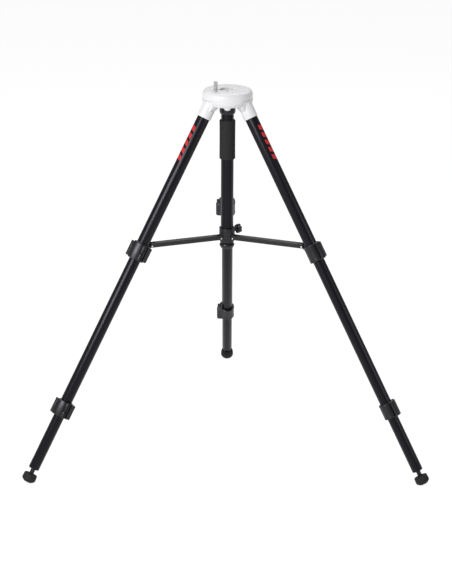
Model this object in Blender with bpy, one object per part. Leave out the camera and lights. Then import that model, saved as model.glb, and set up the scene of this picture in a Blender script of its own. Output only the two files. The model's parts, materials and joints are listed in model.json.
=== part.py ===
"""A light instrument tripod with three folding, telescoping legs and a spreader on a centre column.

Metres, +Z up. The floor is z = 0 and the origin is under the middle of the tripod's bounding box.
The pieces stand as in use: legs spread, middle sections out, lower sections partly out, locks shut.

Two working frames are used:
- the axis frame: z = 0 on the leg hinges, Z on the tripod's axis;
- one leg frame per leg: origin on the leg's hinge, X outward and square to the leg, Y along the
  hinge, Z up along the leg, so that a piece "at s" below the hinge lies at z = -s.
"""

import math

import bmesh
import bpy
from mathutils import Matrix, Vector

MM = 0.001

# --- driving dimensions ---------------------------------------------------------------------------
GAP = 0.3 * MM  # running gap between neighbouring pieces
SPLAY = math.radians(30.05)  # angle of a standing leg to the vertical
LEG_AZIMUTHS = (-150.0, -30.0, 90.0)  # degrees, seen from above
HINGE_R = 48.8 * MM  # leg hinge to the tripod's axis
HINGE_BELOW_TOP = 27.0 * MM

TUBE_WALL = 0.8 * MM
UPPER_TUBE_R = 17.0 * MM
MIDDLE_TUBE_R = 15.9 * MM
LOWER_TUBE_R = 14.8 * MM

HEAD_R = 68.0 * MM
HEAD_EDGE_R = 58.5 * MM  # where the flat top ends and the rounded edge starts
HEAD_EDGE_DROP = 12.0 * MM
HEAD_WALL = 4.0 * MM
HEAD_ROOF = 9.0 * MM
COVER_H = 30.0 * MM
BASE_H = 6.7 * MM
RECESS_R = 21.5 * MM
RECESS_DEPTH = 5.0 * MM
BUSH_NECK = 5.0 * MM  # height of the bush's cone, below the head's roof
BOLT_R = 5.0 * MM
BOLT_HOLE_R = 5.4 * MM
PILLAR_R = 16.0 * MM
ROOT_HALF_W = 26.7 * MM  # half the width of a leg root, along its hinge
SLOT_HALF_W = ROOT_HALF_W + GAP
ROOF_SEAM = 22.0 * MM  # from the head's top down to the leg roots' roofs
AZIMUTH_PIN_R = 5.25 * MM
AZIMUTH_PIN_H = 25.0 * MM
AZIMUTH_PIN_AT = 37.0 * MM
AZIMUTH_PIN_SEAT = 8.0 * MM

HINGE_PIN_R = 4.0 * MM
HINGE_HOLE_R = 4.4 * MM
KNUCKLE_R = 9.0 * MM
SOCKET_R = 19.2 * MM
SOCKET_END = 50.0 * MM  # s of the white socket's lip
TUBE_SEAT = 18.0 * MM  # s where the socket's bore ends

UPPER_LOCK = (424.5 * MM, 473.0 * MM)  # s of the clamp body's two ends
LOWER_LOCK = (900.5 * MM, 943.5 * MM)
UPPER_LOCK_R = 23.0 * MM
LOWER_LOCK_R = 21.5 * MM
UPPER_TUBE_END = 455.0 * MM
MIDDLE_TUBE = (420.0 * MM, 930.0 * MM)
LOWER_TUBE = (611.0 * MM, 1103.0 * MM)

LEVER_H = 42.0 * MM
CAM_R = 4.3 * MM
CAM_OFFSET = 4.7 * MM  # lever pivot outside the clamp body's radius
PIVOT_ANGLE = math.radians(75.0)  # lever pivot round the leg's axis, from X
DRAW_BOLT_R = 2.0 * MM
SMALL_HOLE_R = 2.4 * MM
FORK_HALF = 3.5 * MM  # half the gap in the lever's fork
SLIT_X = (-3.2 * MM, -0.8 * MM)  # slit between a clamp body's two ears
EAR_BACK = -16.0 * MM  # back face of the rear ear
EAR_ROUND = 5.0 * MM  # slope on the rear ear's lower end
EAR_TIP = 3.5 * MM  # front ear's outer face, beyond the lever's pivot
REAR_EAR_TIP = 6.0 * MM
SLIT_STOP = 3.0 * MM  # the slit ends this far below the ears' upper ends
NUT_R = 3.2 * MM
NUT_H = 3.0 * MM
NUT_SIDES = 6

LUG_S = 421.3 * MM  # spreader pivot on the upper lock, along the leg
LUG_Q = 25.6 * MM  # and towards the tripod's axis from the leg's axis
LUG_HALF_W = 3.9 * MM
HUB_PIVOT_R = 22.7 * MM
HUB_PIVOT_BELOW_HINGE = 389.8 * MM
HUB_LUG_HALF_W = 6.7 * MM
ARM_END_R = 4.3 * MM  # rounded end of an arm, about its rivet
ARM_TOP = 8.0 * MM
CHEEK = 2.5 * MM
CHEEK_IN = 7.0 * MM
CHEEK_LENGTH = 136.0 * MM
TONGUE_IN = 6.7 * MM
TONGUE_LENGTH = 125.0 * MM

COLUMN_TUBE_R = 17.2 * MM
COLLAR_R = 21.7 * MM
COLLAR_Z = (-37.3 * MM, -67.0 * MM)  # from the head's top
COLLAR_WEB = 12.7 * MM  # solid top of the collar, above the tube's bore
GRIP_Z = (-84.0 * MM, -193.0 * MM)
END_RING_Z = (-434.7 * MM, -448.7 * MM)
END_RING_R = 20.6 * MM
KNOB_AZIMUTH = 30.0
KNOB_Z = 18.2 * MM  # above the arms' pivots
KNOB_R = 13.5 * MM
KNOB_FACE = (29.5 * MM, 42.5 * MM)  # near and far face, from the tripod's axis
KNOB_SCREW_R = 3.0 * MM
KNOB_SCREW_IN = 8.0 * MM  # how far the screw goes into the knob

FOOT_STEM_R = 6.2 * MM
FOOT_PAD_TOP = 1120.9 * MM
FOOT_PAD_WIDEST = 1135.7 * MM
FOOT_END = 1144.6 * MM
FOOT_TOP_R = 18.2 * MM
FOOT_WIDE_R = 19.2 * MM
FOOT_END_R = 11.5 * MM

ROUND = 16  # sides of tubes, locks and feet
SMALL = 8  # sides of pins and holes
HEAD_SIDES = 30

# --- derived places -------------------------------------------------------------------------------
HINGE_Z = FOOT_END * math.cos(SPLAY) + FOOT_END_R * math.sin(SPLAY)


def foot_reach():
    """Largest distance from the tripod's axis to a foot, and its sideways reach for a leg at 30 degrees."""
    axis_r = HINGE_R + FOOT_PAD_WIDEST * math.sin(SPLAY)
    tilted = FOOT_WIDE_R * math.cos(SPLAY)
    behind = axis_r + tilted
    in_front = axis_r / 2 + math.hypot(tilted / 2, FOOT_WIDE_R * math.sin(math.radians(60)))
    return behind, in_front


REACH_BACK, REACH_FRONT = foot_reach()
AXIS_Y = (REACH_FRONT - REACH_BACK) / 2  # centres the bounding box on the origin

HUB_Z = -HUB_PIVOT_BELOW_HINGE
LUG_R = HINGE_R + LUG_S * math.sin(SPLAY) - LUG_Q * math.cos(SPLAY)
LUG_Z = -(LUG_S * math.cos(SPLAY) + LUG_Q * math.sin(SPLAY))
ARM_RISE = math.atan2(LUG_Z - HUB_Z, LUG_R - HUB_PIVOT_R)

# --- materials ------------------------------------------------------------------------------------
LOOKS = {
    "white_paint": ((0.86, 0.86, 0.87), 0.35, 0.0),
    "black_tube": ((0.018, 0.018, 0.021), 0.38, 0.6),
    "black_plastic": ((0.020, 0.020, 0.022), 0.45, 0.0),
    "dark_arm": ((0.035, 0.035, 0.038), 0.40, 0.5),
    "foam": ((0.012, 0.012, 0.013), 0.90, 0.0),
    "rubber": ((0.014, 0.014, 0.015), 0.75, 0.0),
    "steel": ((0.55, 0.54, 0.53), 0.30, 1.0),
}


def material(piece, look):
    """A Principled material of the piece's own."""
    colour, roughness, metallic = LOOKS[look]
    mat = bpy.data.materials.new(piece + "_" + look)
    mat.use_nodes = True
    shader = mat.node_tree.nodes["Principled BSDF"]
    shader.inputs["Base Color"].default_value = (*colour, 1.0)
    shader.inputs["Roughness"].default_value = roughness
    shader.inputs["Metallic"].default_value = metallic
    return mat


# --- shape helpers: each returns one closed mesh ----------------------------------------------------
def finish_mesh(bm):
    """The finished shape as a mesh with its faces pointing out."""
    bmesh.ops.recalc_face_normals(bm, faces=bm.faces)
    mesh = bpy.data.meshes.new("shape")
    bm.to_mesh(mesh)
    bm.free()
    return mesh


def lathe(profile, sides=ROUND):
    """Turns a profile of (radius, z) points about Z. It closes on itself, or ends on the axis twice."""
    bm = bmesh.new()
    rings = []
    for radius, z in profile:
        if radius == 0:
            rings.append([bm.verts.new((0, 0, z))] * sides)
            continue
        turn = [2 * math.pi * k / sides for k in range(sides)]
        rings.append([bm.verts.new((radius * math.cos(a), radius * math.sin(a), z)) for a in turn])
    for ring, following in zip(rings, rings[1:] + rings[:1]):
        if ring[0] is ring[1] and following[0] is following[1]:
            continue
        for k in range(sides):
            corners = (ring[k], ring[(k + 1) % sides], following[(k + 1) % sides], following[k])
            bm.faces.new(list(dict.fromkeys(corners)))
    return finish_mesh(bm)


def loft(sections):
    """Joins outlines of equally many 3-D points, and caps the first and the last."""
    bm = bmesh.new()
    rings = [[bm.verts.new(point) for point in section] for section in sections]
    for ring, following in zip(rings, rings[1:]):
        for k in range(len(ring)):
            after = (k + 1) % len(ring)
            bm.faces.new((ring[k], ring[after], following[after], following[k]))
    bm.faces.new(rings[0])
    bm.faces.new(rings[-1])
    return finish_mesh(bm)


def prism(outline, low, high, along="Z"):
    """Extrudes an outline from low to high along an axis. For Y the outline is in X and Z."""
    place = {
        "X": lambda u, v, w: (w, u, v),
        "Y": lambda u, v, w: (u, w, v),
        "Z": lambda u, v, w: (u, v, w),
    }[along]
    return loft([[place(u, v, w) for u, v in outline] for w in (low, high)])


def arc(radius, start, end, steps, centre=(0.0, 0.0)):
    """Points on an arc, angles in degrees, both ends included."""
    angles = [math.radians(start + (end - start) * k / steps) for k in range(steps + 1)]
    return [(centre[0] + radius * math.cos(a), centre[1] + radius * math.sin(a)) for a in angles]


def circle(radius, sides=SMALL, centre=(0.0, 0.0)):
    return arc(radius, 0, 360 - 360 / sides, sides - 1, centre)


def rod(radius, low, high, along="Z", sides=SMALL, centre=(0.0, 0.0)):
    return prism(circle(radius, sides, centre), low, high, along)


def box(x, y, z):
    """A block from three (low, high) pairs."""
    corners = [(x[0], y[0]), (x[1], y[0]), (x[1], y[1]), (x[0], y[1])]
    return prism(corners, z[0], z[1])


def moved(mesh, matrix):
    mesh.transform(matrix)
    return mesh


def turned(mesh, degrees):
    return moved(mesh, Matrix.Rotation(math.radians(degrees), 4, "Z"))


def carve(body, add=(), cut=()):
    """The body joined with every shape in add, less every shape in cut, as one mesh."""
    shapes = [bpy.data.objects.new("shape", mesh) for mesh in (body, *add, *cut)]
    for index, shape in enumerate(shapes):
        bpy.context.scene.collection.objects.link(shape)
        if index == 0:
            continue
        modifier = shapes[0].modifiers.new("step", "BOOLEAN")
        modifier.operation = "UNION" if index <= len(add) else "DIFFERENCE"
        modifier.solver = "EXACT"
        modifier.object = shape
    graph = bpy.context.evaluated_depsgraph_get()
    result = bpy.data.meshes.new_from_object(shapes[0].evaluated_get(graph))
    for shape in shapes:
        mesh = shape.data
        bpy.data.objects.remove(shape)
        bpy.data.meshes.remove(mesh)
    return result


# --- placing --------------------------------------------------------------------------------------
def leg_matrix(azimuth):
    """Axis frame to leg frame: X outward, Y along the hinge, Z up along the standing leg."""
    tilt = Matrix.Rotation(-SPLAY, 4, "Y")
    out = Matrix.Translation((HINGE_R, 0, 0))
    return Matrix.Rotation(math.radians(azimuth), 4, "Z") @ out @ tilt


def empty(name, matrix, parent=None):
    frame = bpy.data.objects.new(name, None)
    bpy.context.scene.collection.objects.link(frame)
    frame.parent = parent
    frame.matrix_local = matrix
    return frame


def piece(name, mesh, look, parent, at=(0, 0, 0), turn=None):
    """Places a copy of a mesh as a named piece, with a material of its own."""
    shape = mesh.copy()
    shape.name = name
    shape.materials.append(material(name, look))
    shape.shade_smooth()
    shape.set_sharp_from_angle(angle=math.radians(40))
    obj = bpy.data.objects.new(name, shape)
    bpy.context.scene.collection.objects.link(obj)
    obj.parent = parent
    obj.matrix_local = Matrix.Translation(Vector(at)) @ (turn or Matrix.Identity(4))
    return obj


# --- head -----------------------------------------------------------------------------------------
def head_cover():
    """Cast cap, z = 0 on its top: rounded edge, round hole, hollow below, open at three legs."""
    edge = [
        (
            HEAD_EDGE_R + (HEAD_R - HEAD_EDGE_R) * math.sin(a),
            -HEAD_EDGE_DROP * (1 - math.cos(a)),
        )
        for a in (math.radians(22.5 * k) for k in range(5))
    ]
    inner_r = HEAD_R - HEAD_WALL
    inside = [
        (HEAD_R, -COVER_H),
        (inner_r, -COVER_H),
        (inner_r, -2 * HEAD_ROOF),
        (inner_r - HEAD_ROOF, -HEAD_ROOF),
        (RECESS_R, -HEAD_ROOF),
    ]
    shell = lathe([(RECESS_R, 0.0), *edge, *inside], HEAD_SIDES)
    reach = (HEAD_R - 4 * HEAD_WALL, HEAD_R + HEAD_WALL)
    slot = ((-SLOT_HALF_W, SLOT_HALF_W), (-COVER_H - HEAD_WALL, -ROOF_SEAM))
    openings = [turned(box(reach, *slot), azimuth) for azimuth in LEG_AZIMUTHS]
    seat = rod(AZIMUTH_PIN_R + GAP, -AZIMUTH_PIN_SEAT, HEAD_WALL)
    moved(seat, Matrix.Translation((AZIMUTH_PIN_AT, 0, 0)))
    return carve(shell, cut=[*openings, turned(seat, LEG_AZIMUTHS[0])])


def head_bush():
    """Bush in the head's hole: the recess floor on top, then a neck that the bolt runs through."""
    outer = RECESS_R - GAP
    return lathe(
        [
            (BOLT_HOLE_R, -RECESS_DEPTH),
            (outer, -RECESS_DEPTH),
            (outer, -HEAD_ROOF),
            (PILLAR_R, -HEAD_ROOF - BUSH_NECK),
            (PILLAR_R, -COVER_H),
            (BOLT_HOLE_R, -COVER_H),
        ],
        HEAD_SIDES,
    )


def head_base():
    """Bottom plate with three open slots, six hinge lugs and three round screw bosses."""
    top = -COVER_H - GAP
    bottom = top - BASE_H
    outer = HEAD_R - 0.5 * MM
    plate = lathe(
        [
            (BOLT_HOLE_R, top),
            (outer, top),
            (outer, top - 0.4 * BASE_H),
            (outer - 0.6 * BASE_H, bottom),
            (BOLT_HOLE_R, bottom),
        ],
        HEAD_SIDES,
    )
    slot_from = 29.0 * MM
    lug_r = 6.0 * MM
    lug_w = 4.5 * MM
    pin_at = (HINGE_R, -HINGE_BELOW_TOP)
    foot = top - 0.5 * BASE_H
    side = lug_r * math.cos(math.radians(45))
    profile = arc(lug_r, -45, 225, 6, pin_at)
    profile = [(pin_at[0] - side, foot), (pin_at[0] + side, foot), *profile]
    boss_r = 10.0 * MM
    boss_at = 54.0 * MM
    boss_drop = 9.0 * MM
    dome = [(0.0, bottom - boss_drop)]
    dome += [
        (boss_r * math.sin(a), bottom - boss_drop * math.cos(a))
        for a in (math.radians(30 * k) for k in (1, 2, 3))
    ]
    dome += [(boss_r, foot), (0.0, foot)]
    lugs, bosses, cuts = [], [], []
    for azimuth in LEG_AZIMUTHS:
        for side_sign in (-1, 1):
            near = side_sign * (SLOT_HALF_W + GAP)
            far = near + side_sign * lug_w
            lugs.append(turned(prism(profile, min(near, far), max(near, far), "Y"), azimuth))
        boss = moved(lathe(dome, 12), Matrix.Translation((boss_at, 0, 0)))
        bosses.append(turned(boss, azimuth + 60))
        slot = box((slot_from, 2 * HEAD_R), (-SLOT_HALF_W, SLOT_HALF_W), (2 * bottom, 0))
        cuts.append(turned(slot, azimuth))
        hole = rod(HINGE_HOLE_R, -HEAD_R / 2, HEAD_R / 2, "Y", centre=pin_at)
        cuts.append(turned(hole, azimuth))
    return carve(plate, add=bosses + lugs, cut=cuts)


def azimuth_pin():
    """Steel pin, z = 0 on the head's top."""
    chamfer = 1.0 * MM
    return lathe(
        [
            (0.0, AZIMUTH_PIN_H),
            (AZIMUTH_PIN_R - chamfer, AZIMUTH_PIN_H),
            (AZIMUTH_PIN_R, AZIMUTH_PIN_H - chamfer),
            (AZIMUTH_PIN_R, GAP - AZIMUTH_PIN_SEAT),
            (0.0, GAP - AZIMUTH_PIN_SEAT),
        ],
        SMALL,
    )


# --- column ---------------------------------------------------------------------------------------

def column_collar():
    top, bottom = COLLAR_Z
    chamfer = 5.0 * MM
    web = top - COLLAR_WEB
    return lathe(
        [
            (BOLT_HOLE_R, top),
            (COLLAR_R, top),
            (COLLAR_R, bottom + chamfer),
            (COLLAR_R - 2.5 * MM, bottom),
            (COLUMN_TUBE_R + GAP, bottom),
            (COLUMN_TUBE_R + GAP, web),
            (BOLT_HOLE_R, web),
        ]
    )


def mount_bolt():
    """Bolt through the head, tip flush with the recess floor, head under the collar's web."""
    under = COLLAR_Z[0] - COLLAR_WEB - GAP
    head_r = 9.0 * MM
    head_h = 6.5 * MM
    tip_chamfer = 0.8 * MM
    return lathe(
        [
            (0.0, -RECESS_DEPTH),
            (BOLT_R - tip_chamfer, -RECESS_DEPTH),
            (BOLT_R, -RECESS_DEPTH - tip_chamfer),
            (BOLT_R, under),
            (head_r, under),
            (head_r, under - head_h),
            (0.0, under - head_h),
        ],
        SMALL,
    )


def column_tube():
    top = COLLAR_Z[0] - COLLAR_WEB - GAP
    bottom = END_RING_Z[1] + 4 * MM
    return tube(COLUMN_TUBE_R, top, bottom, wall=2 * MM)


def column_grip():
    """Foam sleeve with rounded ends."""
    top, bottom = GRIP_Z
    inner = COLUMN_TUBE_R + GAP
    soft = 3.0 * MM
    return lathe(
        [
            (inner, top),
            (COLLAR_R - soft, top),
            (COLLAR_R, top - soft),
            (COLLAR_R, bottom + soft),
            (COLLAR_R - soft, bottom),
            (inner, bottom),
        ]
    )


def column_end_ring():
    """Bulged cap on the tube's lower end, where the hub comes to rest."""
    top, bottom = END_RING_Z
    socket = COLUMN_TUBE_R + GAP
    floor = bottom + 4 * MM - GAP
    return lathe(
        [
            (socket, top),
            (END_RING_R - 1.8 * MM, top),
            (END_RING_R, top - 3 * MM),
            (END_RING_R, top - 7 * MM),
            (END_RING_R - 2.2 * MM, bottom + 2 * MM),
            (END_RING_R - 5 * MM, bottom),
            (0.0, bottom),
            (0.0, floor),
            (socket, floor),
        ]
    )


def tube(radius, top, bottom, wall=TUBE_WALL):
    inner = radius - wall
    return lathe([(radius, top), (radius, bottom), (inner, bottom), (inner, top)])


# --- hub ------------------------------------------------------------------------------------------
def hub_body():
    """Sliding collar, z = 0 on the arms' pivots: stepped barrel, three arm lugs and a knob boss."""
    bore = COLUMN_TUBE_R + 0.4 * MM
    slim = 19.6 * MM
    wide = 21.5 * MM
    top, bottom, step = 27.5 * MM, -13.5 * MM, 7.5 * MM
    barrel = lathe(
        [
            (bore, top),
            (wide - 1.5 * MM, top),
            (wide, top - 1.5 * MM),
            (wide, step),
            (slim, step),
            (slim, bottom),
            (bore, bottom),
        ]
    )
    inside = bore + 1.0 * MM
    ear = [
        (inside, -ARM_END_R),
        *arc(ARM_END_R, -90, 60, 5, (HUB_PIVOT_R, 0.0)),
        (wide - 0.5 * MM, 10 * MM),
        (inside, 10 * MM),
    ]
    lugs, holes = [], []
    for azimuth in LEG_AZIMUTHS:
        lugs.append(turned(prism(ear, -HUB_LUG_HALF_W, HUB_LUG_HALF_W, "Y"), azimuth))
        hole = rod(SMALL_HOLE_R, -HEAD_R, HEAD_R, "Y", centre=(HUB_PIVOT_R, 0.0))
        holes.append(turned(hole, azimuth))
    boss = turned(rod(6.5 * MM, inside, 27 * MM, "X", 12, (0.0, KNOB_Z)), KNOB_AZIMUTH)
    screw_hole = rod(KNOB_SCREW_R + 0.4 * MM, 10 * MM, 40 * MM, "X", SMALL, (0.0, KNOB_Z))
    return carve(barrel, add=[*lugs, boss], cut=[*holes, turned(screw_hole, KNOB_AZIMUTH)])


def hub_knob():
    """Six-lobed thumb knob about X, with a blind hole for its screw."""
    near, far = KNOB_FACE
    sides = 18
    lobe = 1.6 * MM

    def rim(scale, x):
        points = []
        for k in range(sides):
            a = 2 * math.pi * k / sides
            radius = scale * (KNOB_R - lobe + lobe * math.cos(6 * a))
            points.append((x, radius * math.sin(a), radius * math.cos(a)))
        return points

    body = loft([rim(0.6, near), rim(1.0, near + 3 * MM), rim(1.0, far - 3 * MM), rim(0.7, far)])
    hole = rod(KNOB_SCREW_R + GAP, near - 5 * MM, near + KNOB_SCREW_IN + GAP, "X")
    return carve(body, cut=[hole])


def knob_screw():
    return rod(KNOB_SCREW_R, COLUMN_TUBE_R + 0.5 * MM, KNOB_FACE[0] + KNOB_SCREW_IN, "X")


# --- spreader arms --------------------------------------------------------------------------------
def rivet(half_grip, head_w):
    """Rivet along Y with a flat head at each end."""
    head_r = 3.2 * MM
    outer = half_grip + head_w
    shank = DRAW_BOLT_R
    profile = [(0.0, outer), (head_r, outer), (head_r, half_grip), (shank, half_grip)]
    profile += [(radius, -y) for radius, y in reversed(profile)]
    return moved(lathe(profile, SMALL), Matrix.Rotation(math.radians(90), 4, "X"))


def spreader_arm():
    """Inner part of an arm, origin on its hub pivot, X outward: two cheeks and a web near the hub."""
    half_end = arc(ARM_END_R, 270, 120, 6)
    strap = [*half_end, (2 * MM, ARM_TOP), (CHEEK_LENGTH, ARM_TOP), (CHEEK_LENGTH, -ARM_END_R)]
    near = prism(strap, CHEEK_IN, CHEEK_IN + CHEEK, "Y")
    far = prism(strap, -CHEEK_IN - CHEEK, -CHEEK_IN, "Y")
    grip = CHEEK_IN + 0.5 * CHEEK
    web = box((9 * MM, 26 * MM), (-grip, grip), (ARM_TOP - 1.5 * MM, ARM_TOP - 0.2 * MM))
    hole = rod(SMALL_HOLE_R, -HEAD_R, HEAD_R, "Y")
    return carve(near, add=[web, far], cut=[hole])


def spreader_end():
    """Outer part of an arm, origin on the leg's lug pivot, X away from the hub: tongue, fork, rivet."""
    block = [(-TONGUE_LENGTH, -ARM_END_R), *arc(ARM_END_R, -90, 60, 5), (-2 * MM, ARM_TOP)]
    block.append((-TONGUE_LENGTH, ARM_TOP))
    body = prism(block, -TONGUE_IN, TONGUE_IN, "Y")
    fork = LUG_HALF_W + GAP
    gap = box((-19 * MM, 10 * MM), (-fork, fork), (-10 * MM, 10 * MM))
    slotted = carve(body, cut=[gap])
    return carve(slotted, add=[rivet(TONGUE_IN - 0.2 * MM, 1.2 * MM)])


# --- leg ------------------------------------------------------------------------------------------
def leg_root():
    """White casting: a block flush with the head, a knuckle on the hinge and the tube's socket."""

    def outline(inner_r, arc_r, half_w, corner, z):
        reach = math.degrees(math.asin(half_w / arc_r))
        points = arc(arc_r, -reach, reach, 6)
        points += [(inner_r + corner, half_w), (inner_r, half_w - corner)]
        points += [(inner_r, corner - half_w), (inner_r + corner, -half_w)]
        return [(x, y, z) for x, y in points]

    roof = HINGE_BELOW_TOP - ROOF_SEAM - GAP
    flush = HEAD_R - GAP
    block = loft(
        [
            outline(40 * MM, flush, ROOT_HALF_W, 5 * MM, roof),
            outline(40 * MM, flush, ROOT_HALF_W, 5 * MM, -12 * MM),
            outline(44 * MM, flush + 2 * MM, 21 * MM, 5 * MM, -21 * MM),
            outline(50 * MM, flush + 5 * MM, 13 * MM, 4 * MM, -28 * MM),
        ]
    )
    moved(block, (Matrix.Translation((HINGE_R, 0, 0)) @ Matrix.Rotation(-SPLAY, 4, "Y")).inverted())
    lip = 1.5 * MM
    socket = lathe(
        [
            (0.0, -8 * MM),
            (SOCKET_R, -8 * MM),
            (SOCKET_R, lip - SOCKET_END),
            (SOCKET_R - 0.7 * MM, -SOCKET_END),
            (0.0, -SOCKET_END),
        ]
    )
    knuckle = rod(KNUCKLE_R, -ROOT_HALF_W, ROOT_HALF_W, "Y", 12)
    bore = rod(UPPER_TUBE_R + GAP, -SOCKET_END - lip, -TUBE_SEAT, "Z", ROUND)
    pin_hole = rod(HINGE_HOLE_R, -HEAD_R, HEAD_R, "Y")
    return carve(socket, add=[block, knuckle], cut=[bore, pin_hole])


def hinge_pin():
    return rod(HINGE_PIN_R, -31.5 * MM, 31.5 * MM, "Y")


def pivot_xy(barrel_r):
    """Lever pivot, square to the leg, from the leg's axis."""
    reach = barrel_r + CAM_OFFSET
    return reach * math.cos(PIVOT_ANGLE), reach * math.sin(PIVOT_ANGLE)


def lock_body(ends, barrel_r, upper_r, lower_r, shoulder, lug=False):
    """Clamp body on a tube's end: stepped bore, slit side towards Y with two ears for the bolt."""
    top, bottom = -ends[0], -ends[1]
    chamfer = 1.6 * MM
    barrel = lathe(
        [
            (upper_r, top),
            (barrel_r - chamfer, top),
            (barrel_r, top - chamfer),
            (barrel_r, bottom + chamfer),
            (barrel_r - chamfer, bottom),
            (lower_r, bottom),
            (lower_r, -shoulder),
            (upper_r, -shoulder),
        ]
    )
    pivot_x, pivot_y = pivot_xy(barrel_r)
    middle = (top + bottom) / 2
    ear_z = (middle - LEVER_H / 2, middle + LEVER_H / 2)
    root = upper_r + 1.2 * MM
    tip = pivot_y + EAR_TIP
    front_x = pivot_x - CAM_R - 0.4 * MM
    back_y = math.sqrt(((upper_r + barrel_r) / 2) ** 2 - EAR_BACK**2)
    rear_tip = pivot_y + REAR_EAR_TIP
    corner = 2.0 * MM

    def rear_outline(z, tip_y):
        outline = [(EAR_BACK, back_y), (SLIT_X[0], root), (SLIT_X[0], tip_y)]
        outline += [(EAR_BACK + corner, tip_y), (EAR_BACK, tip_y - corner)]
        return [(x, y, z) for x, y in outline]

    rear_ear = loft(
        [
            rear_outline(ear_z[0], rear_tip - EAR_ROUND),
            rear_outline(ear_z[0] + EAR_ROUND, rear_tip),
            rear_outline(ear_z[1], rear_tip),
        ]
    )
    front_outline = [(SLIT_X[1], root), (front_x, root), (front_x, tip), (SLIT_X[1], tip)]
    ears = [rear_ear, prism(front_outline, *ear_z)]
    slit = box(SLIT_X, (0, rear_tip), (bottom - chamfer, ear_z[1] - SLIT_STOP))
    bolt_at = (pivot_y, middle)
    bolt_hole = rod(SMALL_HOLE_R, 2 * EAR_BACK, pivot_x, "X", centre=bolt_at)
    nut_end = EAR_BACK + NUT_H + GAP
    pocket = rod(NUT_R + GAP, 2 * EAR_BACK, nut_end, "X", NUT_SIDES, bolt_at)
    cuts = [slit, bolt_hole, pocket]
    if not lug:
        return carve(barrel, add=ears, cut=cuts)
    near = -(upper_r + GAP)
    plate = [
        (near, 4.5 * MM - LUG_S),
        *arc(4.5 * MM, 90, 200, 5, (-LUG_Q, -LUG_S)),
        (-barrel_r + 1 * MM, bottom + 0.7 * (top - bottom)),
        (near, bottom + 0.7 * (top - bottom)),
    ]
    arm_lug = prism(plate, -LUG_HALF_W, LUG_HALF_W, "Y")
    arm_hole = rod(SMALL_HOLE_R, -HEAD_R, HEAD_R, "Y", centre=(-LUG_Q, -LUG_S))
    return carve(barrel, add=[*ears, arm_lug], cut=[*cuts, arm_hole])


def lock_lever(barrel_r):
    """Flip lever, origin on its pivot: forked cam, and a plate round the clamp body with a flared tip."""
    pivot_x, pivot_y = pivot_xy(barrel_r)
    centre = (-pivot_x, -pivot_y)
    inner, outer = barrel_r + 0.7 * MM, barrel_r + 4.3 * MM
    start, end = math.degrees(PIVOT_ANGLE) - 7.5, -20.0
    flare = outer + 3.0 * MM
    outline = arc(inner, start, end, 6, centre)
    outline += arc(flare - 2.5 * MM, end - 14, end - 14, 1, centre)[:1]
    outline += arc(flare, end - 11, end - 11, 1, centre)[:1]
    outline += arc(outer, end + 6, start, 6, centre)
    half = LEVER_H / 2
    plate = prism(outline, -half, half)
    cams = [rod(CAM_R, FORK_HALF, half), rod(CAM_R, -half, -FORK_HALF)]
    hole = rod(SMALL_HOLE_R, -LEVER_H, LEVER_H)
    return carve(plate, add=cams, cut=[hole])


def lock_bolt(barrel_r):
    """Draw bolt of a clamp, origin on the lever's pivot: shank along X, cross pin, and sunk nut."""
    pivot_x, _ = pivot_xy(barrel_r)
    nut_at = EAR_BACK - pivot_x
    pin = rod(DRAW_BOLT_R, -LEVER_H / 2, LEVER_H / 2)
    shank = rod(DRAW_BOLT_R * 0.9, nut_at + NUT_H / 2, 0, "X")
    nut = rod(NUT_R, nut_at, nut_at + NUT_H, "X", NUT_SIDES)
    return carve(shank, add=[pin, nut])


def foot_stem():
    """Plug in the lower tube's end, a flange, and the stem that holds the rubber pad."""
    tube_end = LOWER_TUBE[1]
    plug_r = LOWER_TUBE_R - TUBE_WALL - GAP
    return lathe(
        [
            (0.0, -tube_end + 18 * MM),
            (plug_r, -tube_end + 18 * MM),
            (plug_r, -tube_end - GAP),
            (LOWER_TUBE_R, -tube_end - GAP),
            (LOWER_TUBE_R - 1 * MM, -tube_end - 2.5 * MM),
            (FOOT_STEM_R, -tube_end - 2.5 * MM),
            (FOOT_STEM_R, -FOOT_PAD_TOP - 9 * MM),
            (0.0, -FOOT_PAD_TOP - 9 * MM),
        ]
    )


def foot_pad():
    """Rubber foot: a tapered drum with a rounded rim and a socket for the stem."""
    socket = FOOT_STEM_R + GAP
    depth = FOOT_PAD_TOP + 9 * MM + GAP
    shoulder = 1.2 * MM
    return lathe(
        [
            (socket, -FOOT_PAD_TOP),
            (FOOT_TOP_R - shoulder, -FOOT_PAD_TOP),
            (FOOT_TOP_R, -FOOT_PAD_TOP - shoulder),
            (FOOT_WIDE_R, -FOOT_PAD_WIDEST),
            (FOOT_WIDE_R - 1.6 * MM, -FOOT_PAD_WIDEST - 4 * MM),
            (FOOT_END_R, -FOOT_END),
            (0.0, -FOOT_END),
            (0.0, -depth),
            (socket, -depth),
        ]
    )


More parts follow.
